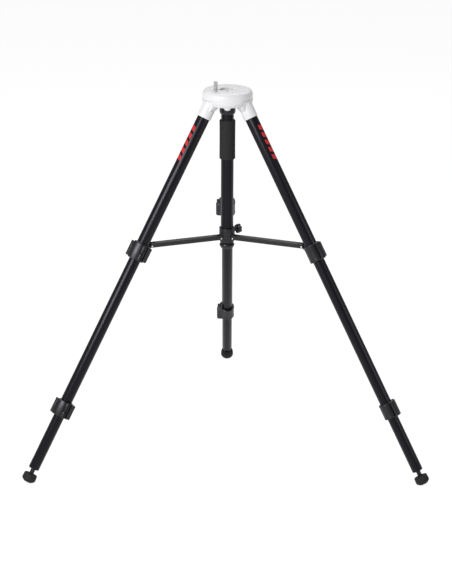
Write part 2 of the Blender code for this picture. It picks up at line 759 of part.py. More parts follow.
# --- assembly -------------------------------------------------------------------------------------
def build_centre(axis):
    """Head, column and hub, on the tripod's axis."""
    top = empty("head_frame", Matrix.Translation((0, 0, HINGE_BELOW_TOP)), axis)
    piece("head_cover", head_cover(), "white_paint", top)
    piece("head_bush", head_bush(), "white_paint", top)
    piece("head_base", head_base(), "white_paint", top)
    pin_turn = Matrix.Rotation(math.radians(LEG_AZIMUTHS[0]), 4, "Z")
    pin_at = pin_turn @ Vector((AZIMUTH_PIN_AT, 0, 0))
    piece("azimuth_pin", azimuth_pin(), "steel", top, pin_at, pin_turn)
    piece("mount_bolt", mount_bolt(), "steel", top)
    piece("column_collar", column_collar(), "black_plastic", top)
    piece("column_tube", column_tube(), "black_tube", top)
    piece("column_grip", column_grip(), "foam", top)
    piece("column_end_ring", column_end_ring(), "black_plastic", top)
    hub = empty("hub_frame", Matrix.Translation((0, 0, HUB_Z)), axis)
    piece("hub_body", hub_body(), "black_plastic", hub)
    knob_turn = Matrix.Rotation(math.radians(KNOB_AZIMUTH), 4, "Z")
    knob_frame = empty("knob_frame", Matrix.Translation((0, 0, KNOB_Z)) @ knob_turn, hub)
    piece("hub_knob", hub_knob(), "black_plastic", knob_frame)
    piece("knob_screw", knob_screw(), "steel", knob_frame)


def leg_meshes():
    """The shapes that all three legs share."""
    return {
        "root": leg_root(),
        "hinge_pin": hinge_pin(),
        "upper_tube": tube(UPPER_TUBE_R, -TUBE_SEAT - GAP, -UPPER_TUBE_END),
        "upper_lock": lock_body(UPPER_LOCK, UPPER_LOCK_R, UPPER_TUBE_R + GAP, MIDDLE_TUBE_R + GAP,
                                UPPER_TUBE_END + GAP, lug=True),
        "upper_lever": lock_lever(UPPER_LOCK_R),
        "upper_lock_bolt": lock_bolt(UPPER_LOCK_R),
        "middle_tube": tube(MIDDLE_TUBE_R, -MIDDLE_TUBE[0], -MIDDLE_TUBE[1]),
        "lower_lock": lock_body(LOWER_LOCK, LOWER_LOCK_R, MIDDLE_TUBE_R + GAP, LOWER_TUBE_R + GAP,
                                MIDDLE_TUBE[1] + GAP),
        "lower_lever": lock_lever(LOWER_LOCK_R),
        "lower_lock_bolt": lock_bolt(LOWER_LOCK_R),
        "lower_tube": tube(LOWER_TUBE_R, -LOWER_TUBE[0], -LOWER_TUBE[1]),
        "foot_stem": foot_stem(),
        "foot_pad": foot_pad(),
        "arm": spreader_arm(),
        "arm_end": spreader_end(),
        "arm_pin": rivet(CHEEK_IN + CHEEK + GAP, 1.2 * MM),
    }


LEG_LOOKS = {
    "root": "white_paint",
    "hinge_pin": "steel",
    "upper_tube": "black_tube",
    "upper_lock": "black_plastic",
    "upper_lever": "black_plastic",
    "upper_lock_bolt": "dark_arm",
    "middle_tube": "black_tube",
    "lower_lock": "black_plastic",
    "lower_lever": "black_plastic",
    "lower_lock_bolt": "dark_arm",
    "lower_tube": "black_tube",
    "foot_stem": "black_plastic",
    "foot_pad": "rubber",
}


def lever_place(ends, barrel_r):
    """Where a lever and its bolt have their origin, in the leg frame."""
    return (*pivot_xy(barrel_r), -(ends[0] + ends[1]) / 2)


def build_leg(number, azimuth, meshes, axis):
    """One leg with its share of the spreader."""
    frame = empty(f"leg_{number}_frame", leg_matrix(azimuth), axis)
    upper = lever_place(UPPER_LOCK, UPPER_LOCK_R)
    lower = lever_place(LOWER_LOCK, LOWER_LOCK_R)
    places = {
        "upper_lever": upper,
        "upper_lock_bolt": upper,
        "lower_lever": lower,
        "lower_lock_bolt": lower,
    }
    for part, look in LEG_LOOKS.items():
        piece(f"leg_{number}_{part}", meshes[part], look, frame, places.get(part, (0, 0, 0)))
    side = empty(f"side_{number}_frame", Matrix.Rotation(math.radians(azimuth), 4, "Z"), axis)
    rise = Matrix.Rotation(-ARM_RISE, 4, "Y")
    hub_pivot = (HUB_PIVOT_R, 0, HUB_Z)
    piece(f"spreader_arm_{number}", meshes["arm"], "dark_arm", side, hub_pivot, rise)
    piece(f"spreader_pin_{number}", meshes["arm_pin"], "steel", side, hub_pivot)
    piece(f"spreader_end_{number}", meshes["arm_end"], "dark_arm", side, (LUG_R, 0, LUG_Z), rise)


def main():
    for obj in list(bpy.data.objects):
        bpy.data.objects.remove(obj)
    axis = empty("tripod_axis", Matrix.Translation((0, AXIS_Y, HINGE_Z)))
    build_centre(axis)
    meshes = leg_meshes()
    for number, azimuth in enumerate(LEG_AZIMUTHS, start=1):
        build_leg(number, azimuth, meshes, axis)


main()
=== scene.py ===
"""Looks of a light instrument tripod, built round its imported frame. Metres, +Z up.

Every place comes from the frame. The pieces are made in these working frames:
- the head frame: z = 0 on the head's top, Z on the tripod's axis;
- the hub frame: z = 0 on the spreader's pivots, Z on the tripod's axis;
- one leg frame per leg: origin on the leg's hinge, X outward and square to the leg, Y along the
  hinge, Z up along the leg, so that a piece "at s" below the hinge lies at z = -s.
"""

import json
import math

import bmesh
import bpy
from mathutils import Matrix, Vector

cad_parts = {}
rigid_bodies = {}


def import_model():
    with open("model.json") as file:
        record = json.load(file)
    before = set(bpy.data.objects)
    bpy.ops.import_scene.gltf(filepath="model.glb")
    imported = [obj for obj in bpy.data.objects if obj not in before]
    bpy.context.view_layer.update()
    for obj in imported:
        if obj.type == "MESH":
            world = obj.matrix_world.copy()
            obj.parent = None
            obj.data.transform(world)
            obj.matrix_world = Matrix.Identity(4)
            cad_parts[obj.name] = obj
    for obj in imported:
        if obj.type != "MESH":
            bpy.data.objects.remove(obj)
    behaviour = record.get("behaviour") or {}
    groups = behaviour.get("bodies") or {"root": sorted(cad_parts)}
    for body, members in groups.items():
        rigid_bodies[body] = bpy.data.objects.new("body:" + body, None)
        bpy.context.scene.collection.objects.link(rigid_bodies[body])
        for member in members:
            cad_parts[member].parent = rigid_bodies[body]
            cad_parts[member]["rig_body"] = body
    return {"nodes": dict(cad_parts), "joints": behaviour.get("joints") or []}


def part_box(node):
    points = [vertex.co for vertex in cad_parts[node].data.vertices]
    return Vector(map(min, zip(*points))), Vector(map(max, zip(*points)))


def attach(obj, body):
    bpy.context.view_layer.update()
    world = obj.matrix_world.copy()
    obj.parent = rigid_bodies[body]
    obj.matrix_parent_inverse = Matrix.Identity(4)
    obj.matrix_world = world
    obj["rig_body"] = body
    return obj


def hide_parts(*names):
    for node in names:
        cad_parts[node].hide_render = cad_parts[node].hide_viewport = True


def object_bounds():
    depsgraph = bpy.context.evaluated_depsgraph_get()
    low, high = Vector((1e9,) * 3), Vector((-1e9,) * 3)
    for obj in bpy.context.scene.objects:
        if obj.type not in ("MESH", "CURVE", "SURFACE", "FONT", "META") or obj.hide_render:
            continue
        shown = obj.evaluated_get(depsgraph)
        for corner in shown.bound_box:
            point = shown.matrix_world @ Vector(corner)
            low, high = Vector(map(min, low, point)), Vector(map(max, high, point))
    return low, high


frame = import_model()
cad_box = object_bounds()

MM = 0.001
LEGS = (1, 2, 3)
JOINTS = {joint["name"]: joint for joint in frame["joints"]}

# --- fineness and edges ---
ROUND = 96  # sides of tubes and barrels
SMALL = 40  # sides of pins, rivets and holes
EDGE = 0.8 * MM  # usual edge radius of a moulded or cast piece
CAST_VOXEL = 0.8 * MM  # grid of the blended castings
GAP = 0.3 * MM  # running gap between neighbouring pieces
SHARP = math.radians(32)  # edges sharper than this are shaded as edges


# --- places from the frame ---
def local_box(node, place):
    """A node's lowest and highest corner in a working frame."""
    inverse = place.inverted()
    points = [inverse @ v.co for v in frame["nodes"][node].data.vertices]
    low = Vector([min(p[i] for p in points) for i in range(3)])
    high = Vector([max(p[i] for p in points) for i in range(3)])
    return low, high


def joint_place(name):
    return Vector(JOINTS[name]["pos_m"])


def spin(degrees, axis="Z"):
    return Matrix.Rotation(math.radians(degrees), 4, axis)


def leg_place(leg):
    """The leg frame as a matrix, from the fold joint and the slide's direction."""
    y = Vector(JOINTS[f"leg_{leg}_fold"]["axis"]).normalized()
    z = -Vector(JOINTS[f"middle_slide_{leg}"]["axis"]).normalized()
    x = y.cross(z).normalized()
    columns = Matrix((x, y, z)).transposed().to_4x4()
    return Matrix.Translation(joint_place(f"leg_{leg}_fold")) @ columns


AXIS = (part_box("column_tube")[0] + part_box("column_tube")[1]) / 2
HEAD = Matrix.Translation((AXIS.x, AXIS.y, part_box("head_cover")[1].z))
HUB = Matrix.Translation((AXIS.x, AXIS.y, joint_place("arm_1_turn").z))
LEG = {leg: leg_place(leg) for leg in LEGS}
NODE_BODY = {node: obj["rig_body"] for node, obj in frame["nodes"].items()}


def off_axis(point):
    """A point's distance from the tripod's axis."""
    return (point - Vector((AXIS.x, AXIS.y, point.z))).length


def azimuth(leg):
    """A leg's direction round the tripod's axis, in degrees."""
    out = joint_place(f"leg_{leg}_fold") - AXIS
    return math.degrees(math.atan2(out.y, out.x))


def side_place(leg, point):
    """Upright frame with X outward at a leg's azimuth, at a point."""
    return Matrix.Translation(point) @ spin(azimuth(leg))


# --- shape helpers: each returns one closed mesh ---
def finish_mesh(bm):
    """The finished shape as a mesh with its faces pointing out."""
    bmesh.ops.recalc_face_normals(bm, faces=bm.faces)
    mesh = bpy.data.meshes.new("shape")
    bm.to_mesh(mesh)
    bm.free()
    return mesh


def polar(radius, degrees, centre=(0.0, 0.0)):
    a = math.radians(degrees)
    return (centre[0] + radius * math.cos(a), centre[1] + radius * math.sin(a))


def arc(radius, start, end, steps, centre=(0.0, 0.0)):
    """Points on an arc, angles in degrees, both ends included."""
    return [polar(radius, start + (end - start) * k / steps, centre) for k in range(steps + 1)]


def quarter(steps):
    """Sine and cosine at even steps over a quarter turn, both ends included."""
    angles = [math.radians(90 * k / steps) for k in range(steps + 1)]
    return [(math.sin(a), math.cos(a)) for a in angles]


def circle(radius, sides=SMALL, centre=(0.0, 0.0)):
    return arc(radius, 0, 360 - 360 / sides, sides - 1, centre)


def rounded(outline, radius=EDGE, steps=4, closed=True):
    """An outline with arcs for corners. Corners at x = 0 and an open one's ends stay."""
    points = []
    count = len(outline)
    for k in range(count):
        corner = Vector(outline[k])
        before = Vector(outline[k - 1]) - corner
        after = Vector(outline[(k + 1) % count]) - corner
        at_end = not closed and k in (0, count - 1)
        short = before.length * after.length < 1e-12
        if at_end or short or outline[k][0] == 0 or before.angle(after) > math.radians(165):
            points.append(tuple(corner))
            continue
        half = before.angle(after) / 2
        cut = min(radius / math.tan(half), 0.45 * before.length, 0.45 * after.length)
        bend = cut * math.tan(half)
        inward = (before.normalized() + after.normalized()).normalized()
        middle = corner + inward * bend / math.sin(half)
        first = corner + before.normalized() * cut - middle
        last = corner + after.normalized() * cut - middle
        start = math.atan2(first.y, first.x)
        turn = math.remainder(math.atan2(last.y, last.x) - start, 2 * math.pi)
        for step in range(steps + 1):
            a = start + turn * step / steps
            points.append((middle.x + bend * math.cos(a), middle.y + bend * math.sin(a)))
    return points


def lathe(profile, sides=ROUND):
    """Turns (radius, z) points about Z. They close on themselves, or end on the axis twice."""
    bm = bmesh.new()
    rings = []
    for radius, z in profile:
        if radius < 1e-7:
            rings.append([bm.verts.new((0, 0, z))] * sides)
            continue
        turn = [2 * math.pi * k / sides for k in range(sides)]
        rings.append([bm.verts.new((radius * math.cos(a), radius * math.sin(a), z)) for a in turn])
    for ring, following in zip(rings, rings[1:] + rings[:1]):
        if ring[0] is ring[1] and following[0] is following[1]:
            continue
        for k in range(sides):
            corners = (ring[k], ring[(k + 1) % sides], following[(k + 1) % sides], following[k])
            bm.faces.new(list(dict.fromkeys(corners)))
    return finish_mesh(bm)


def turned_piece(profile, radius=EDGE, sides=ROUND):
    return lathe(rounded(profile, radius), sides)


def loft(sections):
    """Joins outlines of equally many 3-D points, and caps the first and the last."""
    bm = bmesh.new()
    rings = [[bm.verts.new(point) for point in section] for section in sections]
    for ring, following in zip(rings, rings[1:]):
        for k in range(len(ring)):
            after = (k + 1) % len(ring)
            bm.faces.new((ring[k], ring[after], following[after], following[k]))
    bm.faces.new(rings[0])
    bm.faces.new(rings[-1])
    return finish_mesh(bm)


def prism(outline, low, high, along="Z", edge=0.0):
    """Extrudes an outline from low to high along an axis, with its end rims rounded.

    For Y the outline is in X and Z.
    """
    place = {
        "X": lambda u, v, w: (w, u, v),
        "Y": lambda u, v, w: (u, w, v),
        "Z": lambda u, v, w: (u, v, w),
    }[along]
    mesh = loft([[place(u, v, w) for u, v in outline] for w in (low, high)])
    if edge == 0.0:
        return mesh
    bm = bmesh.new()
    bm.from_mesh(mesh)
    bpy.data.meshes.remove(mesh)
    sharp = [e for e in bm.edges if e.calc_face_angle(0.0) > math.radians(35)]
    bmesh.ops.bevel(bm, geom=sharp, offset=edge, segments=3, profile=0.5, affect="EDGES",
                    clamp_overlap=True)
    return finish_mesh(bm)


def rod(radius, low, high, along="Z", sides=SMALL, centre=(0.0, 0.0), edge=0.0):
    return prism(circle(radius, sides, centre), low, high, along, edge)


def box(x, y, z, edge=0.0):
    """A block from three (low, high) pairs."""
    corners = [(x[0], y[0]), (x[1], y[0]), (x[1], y[1]), (x[0], y[1])]
    return prism(corners, z[0], z[1], "Z", edge)


def moved(mesh, matrix):
    mesh.transform(matrix)
    return mesh


def turned(mesh, degrees):
    return moved(mesh, spin(degrees))


def joined(meshes):
    """Several closed meshes as one mesh of separate shells."""
    bm = bmesh.new()
    for mesh in meshes:
        bm.from_mesh(mesh)
        bpy.data.meshes.remove(mesh)
    whole = bpy.data.meshes.new("shape")
    bm.to_mesh(whole)
    bm.free()
    return whole


def linked(name, data):
    """A new object in the scene."""
    obj = bpy.data.objects.new(name, data)
    bpy.context.scene.collection.objects.link(obj)
    return obj


def discard(obj):
    mesh = obj.data
    bpy.data.objects.remove(obj)
    bpy.data.meshes.remove(mesh)


def evaluated(obj):
    """An object's mesh with its modifiers applied. The object is removed."""
    graph = bpy.context.evaluated_depsgraph_get()
    result = bpy.data.meshes.new_from_object(obj.evaluated_get(graph))
    discard(obj)
    return result


def carve(body, add=(), cut=(), common=()):
    """The body joined with the shapes in add, less those in cut, and within those in common."""
    base = linked("shape", body)
    operations = ["UNION"] * len(add) + ["DIFFERENCE"] * len(cut) + ["INTERSECT"] * len(common)
    tools = [linked("shape", mesh) for mesh in (*add, *cut, *common)]
    for operation, tool in zip(operations, tools):
        modifier = base.modifiers.new("step", "BOOLEAN")
        modifier.operation = operation
        modifier.solver = "MANIFOLD"
        modifier.object = tool
    result = evaluated(base)
    for tool in tools:
        discard(tool)
    return result


def blended(shapes, passes):
    """Overlapping shapes as one cast body, remeshed on a fine grid with soft edges."""
    obj = linked("shape", joined(shapes))
    grid = obj.modifiers.new("grid", "REMESH")
    grid.mode = "VOXEL"
    grid.voxel_size = CAST_VOXEL
    soften = obj.modifiers.new("soften", "SMOOTH")
    soften.factor = 0.5
    soften.iterations = passes
    return evaluated(obj)


# --- placing ---
def piece(name, mesh, look, place, node, stands=True):
    """Places a mesh as a named piece that rides with a CAD node, and by default stands for it.

    A look with a grain along Z needs the piece's own frame; other pieces are laid in world place.
    """
    shape = mesh.copy()
    shape.name = name
    if look not in (TUBE, STEEL):
        shape.transform(place)
        place = Matrix.Identity(4)
    shape.materials.clear()
    shape.materials.append(look)
    shape.shade_smooth()
    shape.set_sharp_from_angle(angle=SHARP)
    obj = linked(name, shape)
    obj.matrix_world = place
    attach(obj, NODE_BODY[node])
    if stands:
        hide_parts(node)
    return obj


# --- materials ---
class Look:
    """A Principled material in the making: sockets set by name, nodes linked in short calls."""

    def __init__(self, name, **sockets):
        self.mat = bpy.data.materials.new(name)
        self.mat.use_nodes = True
        self.nodes = self.mat.node_tree.nodes
        self.links = self.mat.node_tree.links
        self.shader = self.nodes["Principled BSDF"]
        for socket, value in sockets.items():
            self.shader.inputs[socket.replace("_", " ")].default_value = value

    def place(self, stretch=(1.0, 1.0, 1.0)):
        """Object coordinates, scaled: a small number stretches the pattern along that axis."""
        coords = self.nodes.new("ShaderNodeTexCoord")
        scale = self.nodes.new("ShaderNodeMapping")
        scale.inputs["Scale"].default_value = stretch
        self.links.new(coords.outputs["Object"], scale.inputs["Vector"])
        return scale.outputs["Vector"]

    def noise(self, scale, detail=3.0, rough=0.5, stretch=(1.0, 1.0, 1.0)):
        node = self.nodes.new("ShaderNodeTexNoise")
        node.inputs["Scale"].default_value = scale
        node.inputs["Detail"].default_value = detail
        node.inputs["Roughness"].default_value = rough
        self.links.new(self.place(stretch), node.inputs["Vector"])
        return node.outputs["Fac"]

    def cells(self, scale, stretch=(1.0, 1.0, 1.0)):
        node = self.nodes.new("ShaderNodeTexVoronoi")
        node.inputs["Scale"].default_value = scale
        self.links.new(self.place(stretch), node.inputs["Vector"])
        return node.outputs["Distance"]

    def ramp(self, value, low, high, at=(0.3, 0.7)):
        """A value mapped to a grey or colour between low and high."""
        node = self.nodes.new("ShaderNodeValToRGB")
        ends = node.color_ramp.elements
        for end, colour, position in zip(ends, (low, high), at):
            end.color = colour if isinstance(colour, tuple) else (colour, colour, colour, 1.0)
            end.position = position
        self.links.new(value, node.inputs["Fac"])
        return node.outputs["Color"]

    def mix(self, factor, first, second):
        """Two colours mixed by a factor; a tuple is a plain colour."""
        node = self.nodes.new("ShaderNodeMix")
        node.data_type = "RGBA"
        self.links.new(factor, node.inputs["Factor"])
        for socket, value in (("A", first), ("B", second)):
            target = next(i for i in node.inputs if i.name == socket and i.type == "RGBA")
            if isinstance(value, tuple):
                target.default_value = value
            else:
                self.links.new(value, target)
        return next(o for o in node.outputs if o.type == "RGBA")

    def colour(self, value):
        self.links.new(value, self.shader.inputs["Base Color"])
        return self

    def roughness(self, value):
        self.links.new(value, self.shader.inputs["Roughness"])
        return self

    def bump(self, value, height, strength=1.0, under=None):
        """Surface relief of a height in metres, laid over another bump if one is given."""
        node = self.nodes.new("ShaderNodeBump")
        node.inputs["Strength"].default_value = strength
        node.inputs["Distance"].default_value = height
        self.links.new(value, node.inputs["Height"])
        if under is not None:
            self.links.new(under, node.inputs["Normal"])
        self.links.new(node.outputs["Normal"], self.shader.inputs["Normal"])
        return node.outputs["Normal"]


def grey(value, blue=0.0):
    return (value, value, value + blue, 1.0)


COOL = (0.95, 0.92, 1.0, 1.0)  # tint of the black parts' gloss


def white_paint():
    """Off-white semi-gloss paint with orange peel, a little unevenness and faint handling marks."""
    look = Look("white_paint_look", Coat_Weight=0.06, Coat_Roughness=0.25)
    patches = look.noise(14.0, 4.0, 0.55)
    look.colour(look.ramp(patches, grey(0.520, 0.010), grey(0.545, 0.012)))
    look.roughness(look.ramp(look.noise(60.0, 5.0, 0.6), 0.40, 0.48))
    peel = look.bump(look.noise(650.0, 2.0, 0.45), 0.012 * MM, 0.4)
    look.bump(look.noise(2600.0, 2.0, 0.5), 0.004 * MM, 0.4, peel)
    return look.mat


def black_tube():
    """Satin black anodised aluminium: drawn streaks along the tube and a fine grain."""
    look = Look("black_tube_look", Specular_IOR_Level=0.19, Specular_Tint=COOL)
    streaks = look.noise(420.0, 4.0, 0.6, (1.0, 1.0, 0.012))
    patches = look.noise(24.0, 3.0, 0.5, (1.0, 1.0, 0.25))
    streaked = look.ramp(streaks, grey(0.0022, 0.0012), grey(0.0042, 0.002))
    look.colour(look.mix(patches, streaked, grey(0.0030, 0.0016)))
    look.roughness(look.ramp(look.noise(300.0, 4.0, 0.6, (1.0, 1.0, 0.02)), 0.27, 0.36))
    grain = look.bump(look.noise(900.0, 3.0, 0.6, (1.0, 1.0, 0.02)), 0.003 * MM, 0.3)
    look.bump(look.noise(3200.0, 2.0, 0.5), 0.0015 * MM, 0.3, grain)
    return look.mat


def black_plastic():
    """Moulded black plastic with a fine leathered grain and paler rubbed spots."""
    look = Look("black_plastic_look", Specular_IOR_Level=0.42, Specular_Tint=COOL)
    rubbed = look.noise(90.0, 5.0, 0.65)
    look.colour(look.ramp(rubbed, grey(0.0024, 0.0008), grey(0.0048, 0.001), (0.35, 0.75)))
    look.roughness(look.ramp(look.noise(140.0, 4.0, 0.6), 0.35, 0.41))
    grain = look.bump(look.cells(1500.0), 0.012 * MM, 0.3)
    look.bump(look.noise(500.0), 0.010 * MM, 0.3, grain)
    return look.mat


def dark_arm():
    """Black stove enamel on pressed steel, a shade lighter than the plastic."""
    look = Look("dark_arm_look", Specular_IOR_Level=0.35)
    look.colour(look.ramp(look.noise(70.0, 4.0, 0.6), grey(0.006, 0.001), grey(0.011, 0.002)))
    look.roughness(look.ramp(look.noise(220.0, 4.0, 0.6), 0.34, 0.5))
    look.bump(look.noise(800.0), 0.02 * MM, 0.4)
    return look.mat


def foam():
    """Closed-cell foam: small open pores in a matt skin, their insides darkened as painted shade,
    and soft dents.
    """
    look = Look("foam_look", Roughness=0.92, Specular_IOR_Level=0.25)
    pores_and_pit_shade = look.cells(1100.0)
    # painted shade: the base colour is darker in the pore pits that the bump below sinks, where
    # shade would fall
    look.colour(look.ramp(pores_and_pit_shade, grey(0.007), grey(0.0175, 0.0005), (0.15, 0.6)))
    skin = look.bump(pores_and_pit_shade, 0.12 * MM, 0.7)
    look.bump(look.noise(60.0), 0.25 * MM, 0.35, skin)
    return look.mat


def rubber():
    """Moulded rubber, matt and slightly dusty."""
    look = Look("rubber_look", Specular_IOR_Level=0.2)
    dust = look.noise(120.0, 6.0, 0.7)
    look.colour(look.ramp(dust, grey(0.0085), grey(0.021, -0.001), (0.4, 0.85)))
    look.roughness(look.ramp(dust, 0.64, 0.86, (0.35, 0.75)))
    look.bump(look.noise(1400.0, 3.0, 0.6), 0.04 * MM, 0.5)
    return look.mat


def steel():
    """Turned bright steel: fine rings round the axis and a faint oxide tint."""
    look = Look("steel_look", Metallic=1.0)
    rings = look.noise(1500.0, 3.0, 0.6, (0.03, 0.03, 1.0))
    look.colour(look.ramp(look.noise(150.0, 4.0, 0.6), (0.42, 0.41, 0.40, 1.0),
                          (0.56, 0.55, 0.54, 1.0)))
    look.roughness(look.ramp(rings, 0.22, 0.38))
    look.bump(rings, 0.006 * MM, 0.5)
    return look.mat


def stripe_paint():
    """Red ink printed on the tube: slightly uneven cover, semi-gloss."""
    look = Look("stripe_paint_look", Specular_IOR_Level=0.2)
    cover = look.noise(420.0, 5.0, 0.7)
    look.colour(look.ramp(cover, (0.34, 0.014, 0.018, 1.0), (0.46, 0.020, 0.026, 1.0)))
    look.roughness(look.ramp(cover, 0.32, 0.46))
    look.bump(cover, 0.006 * MM, 0.4)
    return look.mat


WHITE = white_paint()
TUBE = black_tube()
PLASTIC = black_plastic()
ARM = dark_arm()
FOAM = foam()
RUBBER = rubber()
STEEL = steel()
STRIPE = stripe_paint()


# --- head ---
HEAD_R = local_box("head_cover", HEAD)[1].x
COVER_LOW = local_box("head_cover", HEAD)[0].z
ROOT_HALF_W = local_box("leg_1_root", LEG[1])[1].y
SLOT_HALF_W = ROOT_HALF_W + GAP
HINGE_DROP = joint_place("leg_1_fold").z - HEAD.translation.z
HINGE_R = off_axis(joint_place("leg_1_fold"))
ROOF_SEAM = -22.0 * MM  # underside of the cover above a leg root
SEAM = 0.5 * MM  # extra width of the seam round a leg root
ROOF = 9.0 * MM  # thickness of the cover's roof
RECESS_R = 21.5 * MM
BOLT_HOLE_R = 5.4 * MM
PIN_BOX = local_box("azimuth_pin", HEAD)
PIN_AT = (PIN_BOX[0] + PIN_BOX[1]) / 2
PIN_R = 5.25 * MM


def head_cover():
    """Cast cap: rounded edge, round hole with a soft lip, hollow below, open at three legs."""
    flat_r = 57.5 * MM
    drop = 12.5 * MM
    wall = 4.0 * MM
    rim = 0.7 * MM
    edge = [(flat_r + (HEAD_R - flat_r) * s, -drop * (1 - c)) for s, c in quarter(14)]
    inner_r = HEAD_R - wall
    low = COVER_LOW
    lip = rounded([(RECESS_R, -ROOF), (RECESS_R, 0.0), (RECESS_R + 4 * MM, 0.0)], rim, closed=False)
    side = [(HEAD_R, low + rim), (HEAD_R - 0.3 * rim, low + 0.3 * rim), (HEAD_R - rim, low)]
    inside = [(inner_r, low), (inner_r, -2 * ROOF), (inner_r - ROOF, -ROOF), (RECESS_R, -ROOF)]
    inside = rounded(inside, 1.5 * MM, 3, closed=False)
    shell = lathe(lip + edge + side + inside[:-1], 2 * ROUND)
    reach = (HEAD_R - 4 * wall, HEAD_R + wall)
    half, seam = SLOT_HALF_W + SEAM, ROOF_SEAM + SEAM
    slot = [(-half, low - wall), (half, low - wall), (half, seam), (-half, seam)]
    slot = rounded(slot, 1.0 * MM, 3)
    cuts = [turned(prism(slot, *reach, "X"), azimuth(leg)) for leg in LEGS]
    seat_low, seat_r, rim_r = PIN_BOX[0].z - GAP, PIN_R + 0.1 * MM, PIN_R + 0.6 * MM
    seat = lathe([(0.0, seat_low), (seat_r, seat_low), (seat_r, -0.5 * MM), (rim_r, 0.0),
                  (rim_r, 1 * MM), (0.0, 1 * MM)], SMALL)
    cuts.append(moved(seat, Matrix.Translation((PIN_AT.x, PIN_AT.y, 0))))
    return carve(shell, cut=cuts)


def head_bush():
    """Bush in the cover's hole: the recess floor, a cone, and a neck round the mounting bolt."""
    low, high = local_box("head_bush", HEAD)
    outer = RECESS_R - 0.1 * MM
    neck = 16.0 * MM
    return turned_piece([
        (BOLT_HOLE_R, high.z), (outer, high.z), (outer, -ROOF), (neck, -ROOF - 5 * MM),
        (neck, low.z), (BOLT_HOLE_R, low.z),
    ], 0.5 * MM)


def head_base():
    """Bottom plate with three open slots, six hinge lugs and three screw bosses."""
    top = COVER_LOW - GAP
    boss_r, boss_at, boss_drop = 10.0 * MM, 54.0 * MM, 9.0 * MM
    bottom = local_box("head_base", HEAD)[0].z + boss_drop
    thick = top - bottom
    outer = HEAD_R - 0.5 * MM
    plate = turned_piece([
        (BOLT_HOLE_R, top), (outer, top), (outer, top - 0.4 * thick), (outer - 0.6 * thick, bottom),
        (BOLT_HOLE_R, bottom),
    ], 0.6 * MM, 2 * ROUND)
    lug_r = 6.0 * MM
    lug_w = 4.5 * MM
    pin_at = (HINGE_R, HINGE_DROP)
    foot = top - 0.5 * thick
    side = lug_r * math.cos(math.radians(45))
    profile = [(pin_at[0] - side, foot), (pin_at[0] + side, foot),
               *arc(lug_r, -45, 225, 30, pin_at)]
    dome = [(0.0, bottom - boss_drop)]
    dome += [(boss_r * s, bottom - boss_drop * c) for s, c in quarter(12)[1:]]
    dome += [(boss_r, foot), (0.0, foot)]
    add, cuts = [], []
    for leg in LEGS:
        for sign in (-1, 1):
            near = sign * (SLOT_HALF_W + GAP)
            far = near + sign * lug_w
            lug = prism(profile, min(near, far), max(near, far), "Y", 0.6 * MM)
            add.append(turned(lug, azimuth(leg)))
        boss = moved(lathe(dome, SMALL), Matrix.Translation((boss_at, 0, 0)))
        add.append(turned(boss, azimuth(leg) + 60))
        slot = box((29 * MM, 2 * HEAD_R), (-SLOT_HALF_W, SLOT_HALF_W), (2 * bottom, 0))
        cuts.append(turned(slot, azimuth(leg)))
        hole = rod(4.3 * MM, -HEAD_R / 2, HEAD_R / 2, "Y", centre=pin_at)
        cuts.append(turned(hole, azimuth(leg)))
    return carve(plate, add=add, cut=cuts)


def azimuth_pin():
    """Turned pin with a chamfered tip."""
    low, high = PIN_BOX[0].z, PIN_BOX[1].z
    profile = [(0.0, high), (PIN_R - 1.0 * MM, high), (PIN_R, high - 1.0 * MM), (PIN_R, low),
               (0.0, low)]
    pin = turned_piece(profile, 0.25 * MM, SMALL + 8)
    return moved(pin, Matrix.Translation((PIN_AT.x, PIN_AT.y, 0)))


def threaded(radius, low, high, pitch, depth):
    """Profile of a screw thread as close rings, from high down to low."""
    turns = int((high - low) / pitch)
    points = []
    for k in range(turns):
        z = high - k * pitch
        points += [(radius - depth, z), (radius, z - 0.5 * pitch)]
    return points + [(radius - depth, high - turns * pitch), (radius - depth, low)]


def mount_bolt():
    """Bolt through the head: threaded tip with a hexagon socket, and a round head below."""
    low, high = local_box("mount_bolt", HEAD)
    r = 5.0 * MM
    head_r = 9.0 * MM
    under = low.z + 6.5 * MM
    profile = [(0.0, high.z), (r - 1.0 * MM, high.z)]
    profile += threaded(r, high.z - 16 * MM, high.z - 0.5 * MM, 1.5 * MM, 0.5 * MM)
    rim = 0.6 * MM
    profile += [(r, high.z - 16.4 * MM), (r, under), (head_r - rim, under), (head_r, under - rim),
                (head_r, low.z + rim), (head_r - rim, low.z), (0.0, low.z)]
    socket = rod(2.6 * MM, high.z - 3.5 * MM, high.z + 1 * MM, "Z", 6)
    return carve(lathe(profile, SMALL), cut=[socket])


def hinge_pin():
    """Hinge pin with domed ends."""
    reach = local_box("leg_1_hinge_pin", LEG[1])[1].y
    r = 4.0 * MM
    dome = 0.8 * MM
    profile = [(0.0, reach), (r - dome, reach), (r, reach - dome), (r, dome - reach),
               (r - dome, -reach), (0.0, -reach)]
    return moved(turned_piece(profile, 0.4 * MM, SMALL), spin(90, "X"))


def build_head():
    piece("head_cover_casting", head_cover(), WHITE, HEAD, "head_cover")
    piece("head_bush_turned", head_bush(), WHITE, HEAD, "head_bush")
    piece("head_base_casting", head_base(), WHITE, HEAD, "head_base")
    piece("azimuth_pin_turned", azimuth_pin(), STEEL, HEAD, "azimuth_pin")
    piece("mount_bolt_threaded", mount_bolt(), STEEL, HEAD, "mount_bolt")


# --- column ---
COLUMN_R = local_box("column_tube", HEAD)[1].x


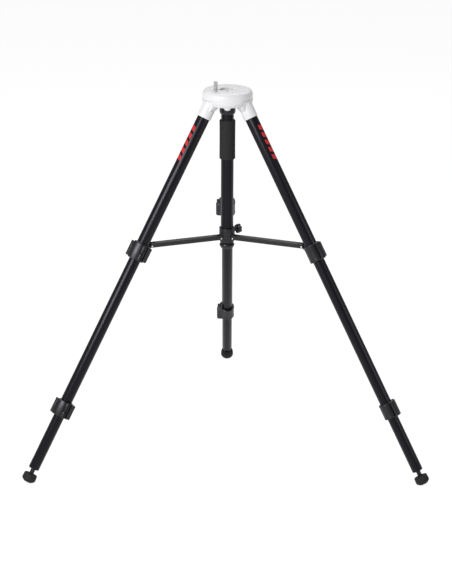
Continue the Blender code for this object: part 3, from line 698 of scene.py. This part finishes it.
def column_collar():
    """Moulded collar with a parting groove and a chamfered lower edge."""
    low, high = local_box("column_collar", HEAD)
    r = high.x
    web = high.z - 12.7 * MM
    return turned_piece([
        (BOLT_HOLE_R, high.z), (r, high.z), (r, high.z - 6.0 * MM),
        (r - 0.5 * MM, high.z - 6.4 * MM), (r - 0.5 * MM, high.z - 7.0 * MM),
        (r, high.z - 7.4 * MM), (r, low.z + 5 * MM), (r - 2.5 * MM, low.z),
        (COLUMN_R + 0.1 * MM, low.z), (COLUMN_R + 0.1 * MM, web), (BOLT_HOLE_R, web),
    ], 0.5 * MM)


def tube(radius, top, bottom, wall):
    """Tube with broken edges."""
    inner = radius - wall
    return turned_piece([(radius, top), (radius, bottom), (inner, bottom), (inner, top)], 0.3 * MM)


def column_grip():
    """Foam sleeve: rounded ends, and sides that pull in by a hair between them."""
    low, high = local_box("column_grip", HEAD)
    r = high.x
    inner = COLUMN_R + 0.05 * MM
    soft = 3.0 * MM
    waist = 0.35 * MM
    length = high.z - low.z
    steps = 24
    profile = [(inner, high.z)]
    profile += arc(soft, 90, 0, 8, (r - soft, high.z - soft))
    for k in range(1, steps):
        share = k / steps
        z = high.z - soft - (length - 2 * soft) * share
        profile.append((r - waist * math.sin(math.pi * share) ** 0.5, z))
    profile += arc(soft, 0, -90, 8, (r - soft, low.z + soft))
    profile.append((inner, low.z))
    return lathe(profile, ROUND)


def column_end_ring():
    """Bulged cap on the tube's lower end, with a groove below its rim."""
    low, high = local_box("column_end_ring", HEAD)
    r = high.x
    socket = COLUMN_R + 0.1 * MM
    floor = low.z + 3.9 * MM
    return turned_piece([
        (socket, high.z), (r - 1.8 * MM, high.z), (r, high.z - 3 * MM), (r, high.z - 6.2 * MM),
        (r - 0.7 * MM, high.z - 7.4 * MM), (r - 2.2 * MM, low.z + 3.4 * MM),
        (r - 3.4 * MM, low.z + 1.2 * MM), (r - 6.0 * MM, low.z), (0.0, low.z), (0.0, floor),
        (socket, floor),
    ], 0.8 * MM)


def build_column():
    low, high = local_box("column_tube", HEAD)
    drawn = tube(COLUMN_R, high.z, low.z, 2 * MM)
    piece("column_collar_moulding", column_collar(), PLASTIC, HEAD, "column_collar")
    piece("column_tube_drawn", drawn, TUBE, HEAD, "column_tube")
    grip = piece("column_grip_foam", column_grip(), FOAM, HEAD, "column_grip")
    piece("column_end_cap", column_end_ring(), PLASTIC, HEAD, "column_end_ring")


# --- hub ---
HUB_PIVOT_R = off_axis(joint_place("arm_1_turn"))
KNOB_Z = joint_place("knob_turn").z - HUB.translation.z
KNOB_AXIS = JOINTS["knob_turn"]["axis"]
KNOB_AZIMUTH = math.degrees(math.atan2(KNOB_AXIS[1], KNOB_AXIS[0]))
KNOB = HUB @ Matrix.Translation((0, 0, KNOB_Z)) @ spin(KNOB_AZIMUTH)
PIVOT_HOLE_R = 2.2 * MM


def hub_body():
    """Sliding collar: stepped barrel with ring edges, three arm lugs and a knob boss."""
    bore = COLUMN_R + 0.2 * MM
    slim, wide = 19.6 * MM, 21.5 * MM
    low, high = local_box("hub_body", HUB)
    top, bottom, step = high.z, low.z, 7.5 * MM
    groove = 0.6 * MM
    barrel = turned_piece([
        (bore + 0.6 * MM, top), (wide - 0.6 * MM, top), (wide, top - 0.8 * MM),
        (wide, top - 3.6 * MM), (wide - groove, top - 4.2 * MM), (wide - groove, top - 5.0 * MM),
        (wide, top - 5.6 * MM), (wide, step), (slim, step - 0.8 * MM), (slim, bottom + 0.6 * MM),
        (slim - 0.6 * MM, bottom), (bore + 0.6 * MM, bottom), (bore, bottom + 0.6 * MM),
        (bore, top - 0.6 * MM),
    ], 0.35 * MM)
    inside = bore + 1.0 * MM
    ear_r = 4.3 * MM
    ear = [(inside, -ear_r), *arc(ear_r, -90, 60, 20, (HUB_PIVOT_R, 0.0)),
           (wide - 0.5 * MM, 10 * MM), (inside, 10 * MM)]
    half = 6.7 * MM
    add, cuts = [], []
    for leg in LEGS:
        add.append(turned(prism(ear, -half, half, "Y", 0.6 * MM), azimuth(leg)))
        hole = rod(PIVOT_HOLE_R, -HEAD_R, HEAD_R, "Y", centre=(HUB_PIVOT_R, 0.0))
        cuts.append(turned(hole, azimuth(leg)))
    boss = [(0.0, 10 * MM), (7.4 * MM, 10 * MM), (6.5 * MM, 23 * MM), (6.5 * MM, 27 * MM),
            (0.0, 27 * MM)]
    boss = moved(turned_piece(boss, 0.8 * MM, SMALL), spin(90, "Y"))
    boss = turned(moved(boss, Matrix.Translation((0, 0, KNOB_Z))), KNOB_AZIMUTH)
    clear = rod(bore, bottom - 5 * MM, top + 5 * MM, "Z", ROUND)
    screw_hole = rod(3.2 * MM, 10 * MM, 40 * MM, "X", SMALL, (0.0, KNOB_Z))
    cuts += [clear, turned(screw_hole, KNOB_AZIMUTH)]
    return carve(barrel, add=[*add, boss], cut=cuts)


def hub_knob():
    """Six-lobed thumb knob about X: a flat near face, soft rims and a domed, dished outer face."""
    low, high = local_box("hub_knob", KNOB)
    near, far = low.x, high.x
    sides = 120
    lobe = 1.6 * MM

    def rim(scale, x):
        points = []
        for k in range(sides):
            a = 2 * math.pi * k / sides
            radius = scale * (high.z - lobe + lobe * math.cos(6 * a))
            points.append((x, radius * math.sin(a), radius * math.cos(a)))
        return points

    def rounding(x, depth, share, way):
        """Sections of a rounded rim that narrows by a share over a depth, from x the given way."""
        return [rim(1 - share * (1 - c), x + way * depth * s) for s, c in quarter(6)]

    sections = [rim(0.42, near + 0.3 * MM), rim(0.50, near)]
    sections += rounding(near + 2.2 * MM, 2.2 * MM, 0.16, -1)[::-1]
    sections += rounding(far - 4.0 * MM, 4.0 * MM, 0.28, 1)
    sections += [rim(0.62, far - 0.1 * MM), rim(0.55, far - 0.9 * MM), rim(0.20, far - 1.3 * MM)]
    hole = rod(3.1 * MM, near - 5 * MM, near + 8 * MM, "X")
    return carve(loft(sections), cut=[hole])


def knob_screw():
    low, high = local_box("knob_screw", KNOB)
    r = 3.0 * MM
    profile = [(0.0, high.x), (r - 0.4 * MM, high.x)]
    profile += threaded(r, low.x + 1 * MM, high.x - 0.4 * MM, 1.0 * MM, 0.4 * MM)
    profile += [(r - 0.8 * MM, low.x), (0.0, low.x)]
    return moved(lathe(profile, SMALL), spin(90, "Y"))


def build_hub():
    piece("hub_moulding", hub_body(), PLASTIC, HUB, "hub_body")
    piece("hub_knob_moulding", hub_knob(), PLASTIC, KNOB, "hub_knob")
    piece("knob_screw_threaded", knob_screw(), STEEL, KNOB, "knob_screw")


# --- legs ---
def radius_of(node):
    """Outer radius of a turned node, in its leg frame."""
    inverse = LEG[1].inverted()
    return max(math.hypot(*(inverse @ v.co).xy) for v in frame["nodes"][node].data.vertices)


def ends_of(node):
    """Upper and lower end of a node along leg 1, as z in the leg frame."""
    low, high = local_box(node, LEG[1])
    return high.z, low.z


UPPER_R = radius_of("leg_1_upper_tube")
MIDDLE_R = radius_of("leg_1_middle_tube")
LOWER_R = radius_of("leg_1_lower_tube")
TUBE_WALL = 0.8 * MM
SOCKET_R = 19.2 * MM
SOCKET_END = -50.0 * MM


def leg_root():
    """White casting: a block flush with the head's flank that flows into the tube's socket."""

    def outline(inner_r, arc_r, half_w, corner, z):
        reach = math.degrees(math.asin(half_w / arc_r))
        points = arc(arc_r, -reach, reach, 24)
        points += arc(corner, 90, 180, 6, (inner_r + corner, half_w - corner))
        points += arc(corner, 180, 270, 6, (inner_r + corner, corner - half_w))
        return [(x, y, z) for x, y in points]

    roof = ROOF_SEAM - HINGE_DROP - GAP
    flush = HEAD_R - GAP
    block = loft(
        [
            outline(40 * MM, flush, ROOT_HALF_W, 5 * MM, roof),
            outline(40 * MM, flush, ROOT_HALF_W, 5 * MM, -12 * MM),
            outline(42.2 * MM, flush + 1.1 * MM, 24.2 * MM, 5 * MM, -17 * MM),
            outline(45 * MM, flush + 2.4 * MM, 20 * MM, 5 * MM, -22 * MM),
            outline(50 * MM, flush + 5 * MM, 13 * MM, 4 * MM, -28 * MM),
        ]
    )
    upright = (LEG[1].inverted() @ side_place(1, joint_place("leg_1_fold"))).to_3x3().to_4x4()
    moved(block, upright @ Matrix.Translation((-HINGE_R, 0, 0)))
    socket = lathe([(0.0, -8 * MM), (SOCKET_R, -8 * MM), (SOCKET_R, SOCKET_END), (0.0, SOCKET_END)])
    knuckle = rod(9 * MM, -ROOT_HALF_W, ROOT_HALF_W, "Y", ROUND)
    body = blended([block, socket, knuckle], 9)
    lip = lathe([(0.0, -30 * MM), (SOCKET_R, -30 * MM), (SOCKET_R, SOCKET_END + 1.0 * MM),
                 (SOCKET_R - 0.3 * MM, SOCKET_END + 0.3 * MM), (SOCKET_R - 0.9 * MM, SOCKET_END),
                 (0.0, SOCKET_END)])
    bore = rod(UPPER_R + 0.1 * MM, SOCKET_END - 2 * MM, -18 * MM, "Z", ROUND)
    pin_hole = rod(4.2 * MM, -HEAD_R, HEAD_R, "Y")
    across = (-HEAD_R, HEAD_R)
    below = box(across, across, (SOCKET_END - 20 * MM, SOCKET_END - 0.001 * MM))
    return carve(body, add=[lip], cut=[below, bore, pin_hole])


def lever_frame(leg, level):
    """Frame of a lever: origin on its pivot, axes as the leg frame."""
    pivot = joint_place(f"{level}_lever_{leg}_flip")
    return Matrix.Translation(pivot) @ LEG[leg].to_3x3().to_4x4()


def pivot_in_leg(level):
    """A lever's pivot in the leg frame."""
    return LEG[1].inverted() @ joint_place(f"{level}_lever_1_flip")


LEVER_H = 42.0 * MM
CAM_R = 4.3 * MM
CAM_OFFSET = 4.7 * MM  # lever pivot outside the clamp body's radius
SLIT = (-3.2 * MM, -0.8 * MM)
SLIT_STOP = 3.0 * MM
EAR_BACK = -16.0 * MM
NUT_R = 3.2 * MM
NUT_H = 3.0 * MM
LUG_AT = LEG[1].inverted() @ joint_place("arm_end_1_turn")


def barrel_radius(level):
    pivot = pivot_in_leg(level)
    return math.hypot(pivot.x, pivot.y) - CAM_OFFSET


def clamp_ears(pivot, barrel_r, bore, low, high):
    """The ears beside a clamp's slit: a square front one, a rear one with a sloped lower end."""
    root = bore + 1.5 * MM
    tip = pivot.y + 3.5 * MM
    rear_tip = pivot.y + 6.0 * MM
    front_x = pivot.x - CAM_R - 0.4 * MM
    back_y = math.sqrt(((bore + barrel_r) / 2) ** 2 - EAR_BACK**2)

    def rear(z, tip_y):
        outline = [(EAR_BACK, back_y), (SLIT[0], root), (SLIT[0], tip_y)]
        outline += arc(2.4 * MM, 90, 180, 6, (EAR_BACK + 2.4 * MM, tip_y - 2.4 * MM))
        return [(x, y, z) for x, y in outline]

    slope = 5.0 * MM
    rim = 0.8 * MM
    sections = [rear(low + slope * (1 - c), rear_tip - slope * (1 - s)) for s, c in quarter(8)]
    sections += [rear(high - rim * (1 - s), rear_tip - rim * (1 - c)) for s, c in quarter(4)]
    front = [(SLIT[1], root), (front_x, root), (front_x, tip), (SLIT[1], tip)]
    return [loft(sections), prism(front, low, high, "Z", 0.7 * MM)]


def lock_body(level, upper_r, lower_r, shoulder, lug):
    """Clamp body: barrel with ringed ends, a slit with two ears, and a spreader lug if asked."""
    barrel_r = barrel_radius(level)
    pivot = pivot_in_leg(level)
    bottom = ends_of(f"leg_1_{level}_lock")[1]
    top = 2 * pivot.z - bottom
    ring = 0.45 * MM
    upper_bore, lower_bore = upper_r + 0.12 * MM, lower_r + 0.12 * MM
    barrel = turned_piece([
        (upper_bore, top), (barrel_r - 2.0 * MM, top), (barrel_r - 0.4 * MM, top - 1.0 * MM),
        (barrel_r, top - 2.0 * MM), (barrel_r, top - 4.4 * MM), (barrel_r - ring, top - 4.9 * MM),
        (barrel_r - ring, bottom + 4.9 * MM), (barrel_r, bottom + 4.4 * MM),
        (barrel_r, bottom + 2.0 * MM), (barrel_r - 0.4 * MM, bottom + 1.0 * MM),
        (barrel_r - 2.0 * MM, bottom), (lower_bore, bottom), (lower_bore, shoulder),
        (upper_bore, shoulder),
    ], 0.4 * MM)
    low, high = pivot.z - LEVER_H / 2, pivot.z + LEVER_H / 2
    shapes = clamp_ears(pivot, barrel_r, upper_bore, low, high)
    slit = box(SLIT, (0, 2 * barrel_r), (bottom - 2 * MM, high - SLIT_STOP))
    bolt_hole = rod(PIVOT_HOLE_R, 2 * EAR_BACK, pivot.x, "X", centre=(pivot.y, pivot.z))
    pocket_end = EAR_BACK + NUT_H + 0.2 * MM
    pocket = rod(NUT_R + 0.2 * MM, 2 * EAR_BACK, pocket_end, "X", 6, (pivot.y, pivot.z))
    cuts = [slit, bolt_hole, pocket]
    if lug:
        near = -(upper_r + GAP)
        plate_low = bottom + 0.7 * (top - bottom)
        plate = [
            (near, LUG_AT.z + 4.5 * MM), *arc(4.5 * MM, 90, 200, 18, (LUG_AT.x, LUG_AT.z)),
            (1 * MM - barrel_r, plate_low), (near, plate_low),
        ]
        shapes.append(prism(plate, -3.9 * MM, 3.9 * MM, "Y", 0.5 * MM))
        cuts.append(rod(PIVOT_HOLE_R, -HEAD_R, HEAD_R, "Y", centre=(LUG_AT.x, LUG_AT.z)))
    cuts.append(rod(upper_bore, shoulder, top + 5 * MM, "Z", ROUND))
    return carve(barrel, add=shapes, cut=cuts)


def lock_lever(level):
    """Flip lever: forked cam, curved plate round the clamp body, flared tip with grip ribs."""
    barrel_r = barrel_radius(level)
    pivot = pivot_in_leg(level)
    centre = (-pivot.x, -pivot.y)
    inner, outer = barrel_r + 0.7 * MM, barrel_r + 4.3 * MM
    start = math.degrees(math.atan2(pivot.y, pivot.x)) - 7.5
    end = -20.0
    flare = outer + 3.0 * MM
    outline = arc(inner, start, end, 30, centre)
    lip = polar(flare - 2.5 * MM, end - 14, centre)
    tip = polar(flare, end - 11, centre)
    outline += curve_between(outline[-2], outline[-1], lip, 8)
    outline += arc_through(lip, tip, 5)
    back = arc(outer, end + 6, start, 26, centre)
    outline += curve_between(back[1], back[0], tip, 6)[::-1]
    outline += back
    half = LEVER_H / 2
    plate = prism(outline, -half, half, "Z", 0.7 * MM)
    ribs = []
    for k in range(4):
        at = polar(outer - 0.25 * MM, end - 1.0 + 6.5 * k, centre)
        ribs.append(rod(0.75 * MM, -half + 5 * MM, half - 5 * MM, "Z", 16, at, 0.3 * MM))
    fork = 3.5 * MM
    cams = [rod(CAM_R, *span, edge=0.4 * MM) for span in ((fork, half), (-half, -fork))]
    hole = rod(PIVOT_HOLE_R, -LEVER_H, LEVER_H)
    return carve(plate, add=cams + ribs, cut=[hole])


def curve_between(before, start, end, steps):
    """Points of a soft curve that leaves start in the direction before-start and ends at end."""
    first, last = Vector(start), Vector(end)
    reach = (last - first).length * 0.55
    handle = first + (first - Vector(before)).normalized() * reach
    points = []
    for k in range(1, steps):
        t = k / steps
        point = first * (1 - t) ** 2 + handle * 2 * t * (1 - t) + last * t * t
        points.append(tuple(point))
    return points


def arc_through(start, end, steps):
    """Half a turn from start to end, bulging to the left of that direction."""
    first, last = Vector(start), Vector(end)
    middle = (first + last) / 2
    arm = first - middle
    return [tuple(middle + Matrix.Rotation(math.pi * k / steps, 2) @ arm) for k in range(steps + 1)]


def lock_bolt(level):
    """Draw bolt: threaded shank along X, cross pin with domed ends, and a chamfered hexagon nut."""
    nut_at = EAR_BACK - pivot_in_leg(level).x
    nut_end = nut_at + NUT_H
    half = LEVER_H / 2
    pin = rod(2.0 * MM, -half, half, edge=0.5 * MM)
    r = 1.8 * MM
    tip = nut_at - GAP
    thread = threaded(r, tip, tip + 12 * MM, 0.8 * MM, 0.25 * MM)
    profile = [(0.0, 0.0), (r, 0.0), *thread, (0.0, tip)]
    lying = spin(90, "Y")
    shank = moved(lathe(profile, SMALL), lying)
    across = NUT_R * math.cos(math.radians(30)) + 0.1 * MM
    round_r = NUT_R + 0.15 * MM
    dome = [(0.0, nut_end), (across, nut_end), (round_r, nut_end - 0.6 * MM),
            (round_r, nut_at + 0.6 * MM), (across, nut_at), (0.0, nut_at)]
    nut = carve(rod(NUT_R, nut_at, nut_end, "X", 6), common=[moved(lathe(dome, SMALL), lying)])
    return carve(shank, add=[pin, nut])


STEM_R = 6.2 * MM


def foot_stem():
    """Plug in the lower tube's end, its flange, and the stem that the rubber pad sits on."""
    top, bottom = ends_of("leg_1_foot_stem")
    tube_end = ends_of("leg_1_lower_tube")[1]
    r = STEM_R
    plug_r = LOWER_R - TUBE_WALL - 0.1 * MM
    return turned_piece([
        (0.0, top), (plug_r, top), (plug_r, tube_end - 0.1 * MM), (LOWER_R, tube_end - 0.1 * MM),
        (LOWER_R, tube_end - 1.2 * MM), (LOWER_R - 1.4 * MM, tube_end - 2.6 * MM),
        (r + 0.6 * MM, tube_end - 2.7 * MM), (r, tube_end - 3.3 * MM), (r, bottom), (0.0, bottom),
    ], 0.5 * MM)


def foot_pad():
    """Rubber foot: a tapered drum with a raised collar, a rounded rim and a grooved sole."""
    top, bottom = ends_of("leg_1_foot_pad")
    stem_r = STEM_R + 0.1 * MM
    shoulder_r, wide_r, sole_r = 18.2 * MM, radius_of("leg_1_foot_pad"), 11.5 * MM
    widest = bottom + 8.9 * MM
    groove, land = 0.9 * MM, 1.5 * MM
    profile = [
        (stem_r, top), (stem_r + 2.4 * MM, top), (stem_r + 3.0 * MM, top - 0.8 * MM),
        (shoulder_r - 3.4 * MM, top - 0.8 * MM), (shoulder_r - 1.4 * MM, top - 0.1 * MM),
        (shoulder_r, top - 1.5 * MM), (shoulder_r + 0.45 * MM, top - 5.0 * MM),
        (wide_r - 0.2 * MM, widest + 2.0 * MM), (wide_r, widest),
        (wide_r - 1.6 * MM, widest - 4.0 * MM), (sole_r + 1.2 * MM, bottom + 1.0 * MM),
        (sole_r, bottom),
    ]
    r = sole_r - land
    while r > 3 * land:
        profile += [(r, bottom), (r, bottom + groove), (r - groove, bottom + groove),
                    (r - groove, bottom)]
        r -= groove + land
    floor = bottom + 14.5 * MM
    profile += [(0.0, bottom), (0.0, floor), (stem_r, floor)]
    return turned_piece(profile, 0.35 * MM)


# --- stripes on the upper tubes ---
STRIPE_FROM, STRIPE_TO = 78.0 * MM, 186.0 * MM
STRIPE_BARS = 5
STRIPE_HALF_ARC = 31.0  # degrees each side of the leg's outer line
STRIPE_SLANT = 9.0 * MM
STRIPE_INK = 0.06 * MM


def stripe_bars():
    """A row of plain slanted bars printed round the outer side of an upper tube."""
    pitch = (STRIPE_TO - STRIPE_FROM) / STRIPE_BARS
    width = 0.62 * pitch
    steps = 14
    corners = [(-STRIPE_INK, 0.0), (STRIPE_INK, 0.0), (STRIPE_INK, width), (-STRIPE_INK, width)]
    bars = []
    for bar in range(STRIPE_BARS):
        top = -(STRIPE_FROM + bar * pitch)
        sections = []
        for k in range(steps + 1):
            share = k / steps
            a = math.radians(STRIPE_HALF_ARC * (2 * share - 1))
            lean = STRIPE_SLANT * (share - 0.5)
            out, side = math.cos(a), math.sin(a)
            sections.append([((UPPER_R + ink) * out, (UPPER_R + ink) * side, top - down - lean)
                             for ink, down in corners])
        bars.append(loft(sections))
    return joined(bars)


# --- spreader ---
ARM_TOP = 8.0 * MM
ARM_LOW = -4.3 * MM
ARM_HALF = 9.5 * MM
ARM_SHEET = 1.5 * MM
ARM_BEND = 1.8 * MM  # outer bend radius of the channel
ARM_SEAM = 136.0 * MM
ARM_WAY = joint_place("arm_end_1_turn") - joint_place("arm_1_turn")
ARM_LENGTH = ARM_WAY.length
ARM_RISE = Matrix.Rotation(-math.asin(ARM_WAY.z / ARM_LENGTH), 4, "Y")


def channel(x_from, x_to, half, top, low, sheet, bend):
    """Inverted U of bent sheet along X, open below, its lower edge rounded off at the pivot end."""
    section = rounded([(-half, low), (-half, top), (half, top), (half, low)], bend, 6)
    inner_half, inner_top = half - sheet, top - sheet
    below = low - 2 * MM
    hollow = [(-inner_half, below), (-inner_half, inner_top), (inner_half, inner_top),
              (inner_half, below)]
    hollow = rounded(hollow, max(bend - sheet, 0.3 * MM), 4)
    solid = prism([(y, z) for y, z in section], x_from, x_to, "X")
    gap = prism([(y, z) for y, z in hollow], x_from - 5 * MM, x_to + 5 * MM, "X")
    return carve(solid, cut=[gap])


def arm_trim(side):
    """What is cut off an arm's rounded end, on the side -1 or 1, and the rivet's hole."""
    end_r, slope = -ARM_LOW, 2.5 * MM
    corner = [(2 * end_r, 2 * ARM_TOP), (2 * end_r, 2 * ARM_LOW), (0.0, 2 * ARM_LOW),
              *arc(end_r, -90, 0, 12), (end_r, slope), (end_r - slope, ARM_TOP + 1e-5),
              (0.0, 2 * ARM_TOP)]
    trim = prism([(side * x, z) for x, z in corner], -2 * ARM_HALF, 2 * ARM_HALF, "Y")
    return trim, rod(PIVOT_HOLE_R, -HEAD_R, HEAD_R, "Y")


def spreader_arm():
    """Inner length of an arm: U channel on the hub's lug, its end rounded about the rivet."""
    body = channel(ARM_LOW, ARM_SEAM, ARM_HALF, ARM_TOP, ARM_LOW, ARM_SHEET, ARM_BEND)
    trim, hole = arm_trim(-1)
    window = box((ARM_LOW - 1 * MM, 8.5 * MM), (-7 * MM, 7 * MM), (0, 2 * ARM_TOP))
    return carve(body, cut=[trim, window, hole])


def spreader_end():
    """Outer length of an arm: the channel on to the leg, and a tongue inside the inner length."""
    seam = ARM_SEAM - ARM_LENGTH + 0.4 * MM
    outer = channel(seam, -ARM_LOW, ARM_HALF, ARM_TOP, ARM_LOW, ARM_SHEET, ARM_BEND)
    trim, hole = arm_trim(1)
    window = box((-16 * MM, 1 * MM - ARM_LOW), (-4.4 * MM, 4.4 * MM), (0, 2 * ARM_TOP))
    outer = carve(outer, cut=[trim, hole, window])
    low, _ = local_box("spreader_end_1", side_place(1, joint_place("arm_end_1_turn")) @ ARM_RISE)
    half, top = ARM_HALF - ARM_SHEET - 0.4 * MM, ARM_TOP - ARM_SHEET - 0.35 * MM
    sheet = 1.2 * MM
    tongue = channel(low.x, seam + 12 * MM, half, top, ARM_LOW + 0.6 * MM, sheet, sheet)
    return joined([outer, tongue])


def rivet(half_grip, head_w):
    """Rivet along Y with a low domed head at each end."""
    head_r = 2.7 * MM
    shank = 2.0 * MM
    dome = [(head_r * s, half_grip + head_w * (0.35 + 0.65 * c)) for s, c in quarter(6)]
    profile = [*dome, (head_r, half_grip), (shank, half_grip)]
    profile += [(radius, -y) for radius, y in reversed(profile)]
    return moved(lathe(profile, SMALL), spin(90, "X"))


def build_legs():
    """The three legs with their locks and shares of the spreader."""
    upper_top, upper_low = ends_of("leg_1_upper_tube")
    middle_top, middle_low = ends_of("leg_1_middle_tube")
    lower_top, lower_low = ends_of("leg_1_lower_tube")
    seat = 0.1 * MM
    parts = {
        "root": (leg_root(), WHITE),
        "hinge_pin": (hinge_pin(), STEEL),
        "upper_tube": (tube(UPPER_R, upper_top, upper_low, TUBE_WALL), TUBE),
        "upper_lock": (lock_body("upper", UPPER_R, MIDDLE_R, upper_low - seat, True), PLASTIC),
        "middle_tube": (tube(MIDDLE_R, middle_top, middle_low, TUBE_WALL), TUBE),
        "lower_lock": (lock_body("lower", MIDDLE_R, LOWER_R, middle_low - seat, False), PLASTIC),
        "lower_tube": (tube(LOWER_R, lower_top, lower_low, TUBE_WALL), TUBE),
        "foot_stem": (foot_stem(), PLASTIC),
        "foot_pad": (foot_pad(), RUBBER),
    }
    levels = {level: (lock_lever(level), lock_bolt(level)) for level in ("upper", "lower")}
    stripes = stripe_bars()
    arm, arm_end = spreader_arm(), spreader_end()
    arm_rivet = rivet(ARM_HALF, 1.2 * MM)
    for leg in LEGS:
        for part, (shape, look) in parts.items():
            node = f"leg_{leg}_{part}"
            piece(f"{node}_fine", shape, look, LEG[leg], node)
        for level, (lever_shape, bolt_shape) in levels.items():
            place = lever_frame(leg, level)
            lever, bolt = f"leg_{leg}_{level}_lever", f"leg_{leg}_{level}_lock_bolt"
            piece(f"{lever}_fine", lever_shape, PLASTIC, place, lever)
            piece(f"{bolt}_fine", bolt_shape, ARM, place, bolt)
        if leg != 3:
            piece(f"leg_{leg}_stripe", stripes, STRIPE, LEG[leg], f"leg_{leg}_upper_tube", False)
        at_hub = side_place(leg, joint_place(f"arm_{leg}_turn"))
        at_leg = side_place(leg, joint_place(f"arm_end_{leg}_turn")) @ ARM_RISE
        near, far, pin = f"spreader_arm_{leg}", f"spreader_end_{leg}", f"spreader_pin_{leg}"
        piece(f"{near}_channel", arm, ARM, at_hub @ ARM_RISE, near)
        piece(f"{far}_channel", arm_end, ARM, at_leg, far)
        piece(f"{pin}_rivet", arm_rivet, STEEL, at_hub, pin)
        piece(f"{far}_rivet", arm_rivet, STEEL, at_leg, far, False)


# --- stage ---
CAMERA_AWAY = 5.007  # from the tripod's axis, level
CAMERA_UP = 2.253
CAMERA_PITCH = 19.868  # degrees below level
CAMERA_PAN = 0.023
CAMERA_ROLL = 0.244
CAMERA_ROUND = 0.165  # degrees round the tripod
LENS_PER_SIDE = 1906.3 / 584  # focal length over the picture's long side
SENSOR = 36.0


def build_camera():
    data = bpy.data.cameras.new("camera")
    data.sensor_width = SENSOR
    data.lens = LENS_PER_SIDE * SENSOR
    camera = linked("camera", data)
    around = Matrix.Translation((AXIS.x, AXIS.y, 0)) @ spin(CAMERA_ROUND)
    at = Matrix.Translation((0, -CAMERA_AWAY, CAMERA_UP))
    pan = spin(CAMERA_PAN)
    pitch = spin(90 - CAMERA_PITCH, "X")
    roll = spin(CAMERA_ROLL)
    camera.matrix_world = around @ at @ pan @ pitch @ roll
    bpy.context.scene.camera = camera


def area_light(name, at, aim, size, power):
    """A rectangular soft light at a point, facing another."""
    data = bpy.data.lights.new(name, "AREA")
    data.shape = "RECTANGLE"
    data.size, data.size_y = size
    data.energy = power
    light = linked(name, data)
    light.location = at
    light.rotation_euler = (Vector(aim) - Vector(at)).to_track_quat("-Z", "Y").to_euler()


def build_stage():
    """Pale floor, pale surroundings and soft studio lights."""
    floor_look = Look("floor_look", Roughness=0.9, Specular_IOR_Level=0.0, Emission_Strength=0.92)
    floor_look.shader.inputs["Emission Color"].default_value = grey(1.0)
    floor_look.colour(floor_look.ramp(floor_look.noise(3.0), grey(0.12), grey(0.13), (0.0, 1.0)))
    half = 40.0  # metres
    bm = bmesh.new()
    corners = ((-half, -half), (half, -half), (half, half), (-half, half))
    bm.faces.new([bm.verts.new((x, y, 0)) for x, y in corners])
    mesh = finish_mesh(bm)
    mesh.materials.append(floor_look.mat)
    floor = linked("floor", mesh)
    floor.location.z = cad_box[0].z - 0.2 * MM
    world = bpy.data.worlds.new("studio")
    world.use_nodes = True
    background = world.node_tree.nodes["Background"]
    background.inputs["Color"].default_value = (1.0, 1.0, 1.0, 1.0)
    background.inputs["Strength"].default_value = 0.35
    bpy.context.scene.world = world
    target = (AXIS.x, AXIS.y, 0.55)
    area_light("key", (-1.9, -2.6, 2.2), target, (1.8, 1.6), 132)
    area_light("top", (0.3, 1.8, 3.4), target, (3.0, 3.0), 78)
    area_light("fill", (3.2, -1.8, 1.6), target, (1.6, 1.6), 28)


def main():
    build_camera()
    build_stage()
    build_head()
    build_column()
    build_hub()
    build_legs()
    bpy.context.scene.view_settings.view_transform = "Standard"


main()
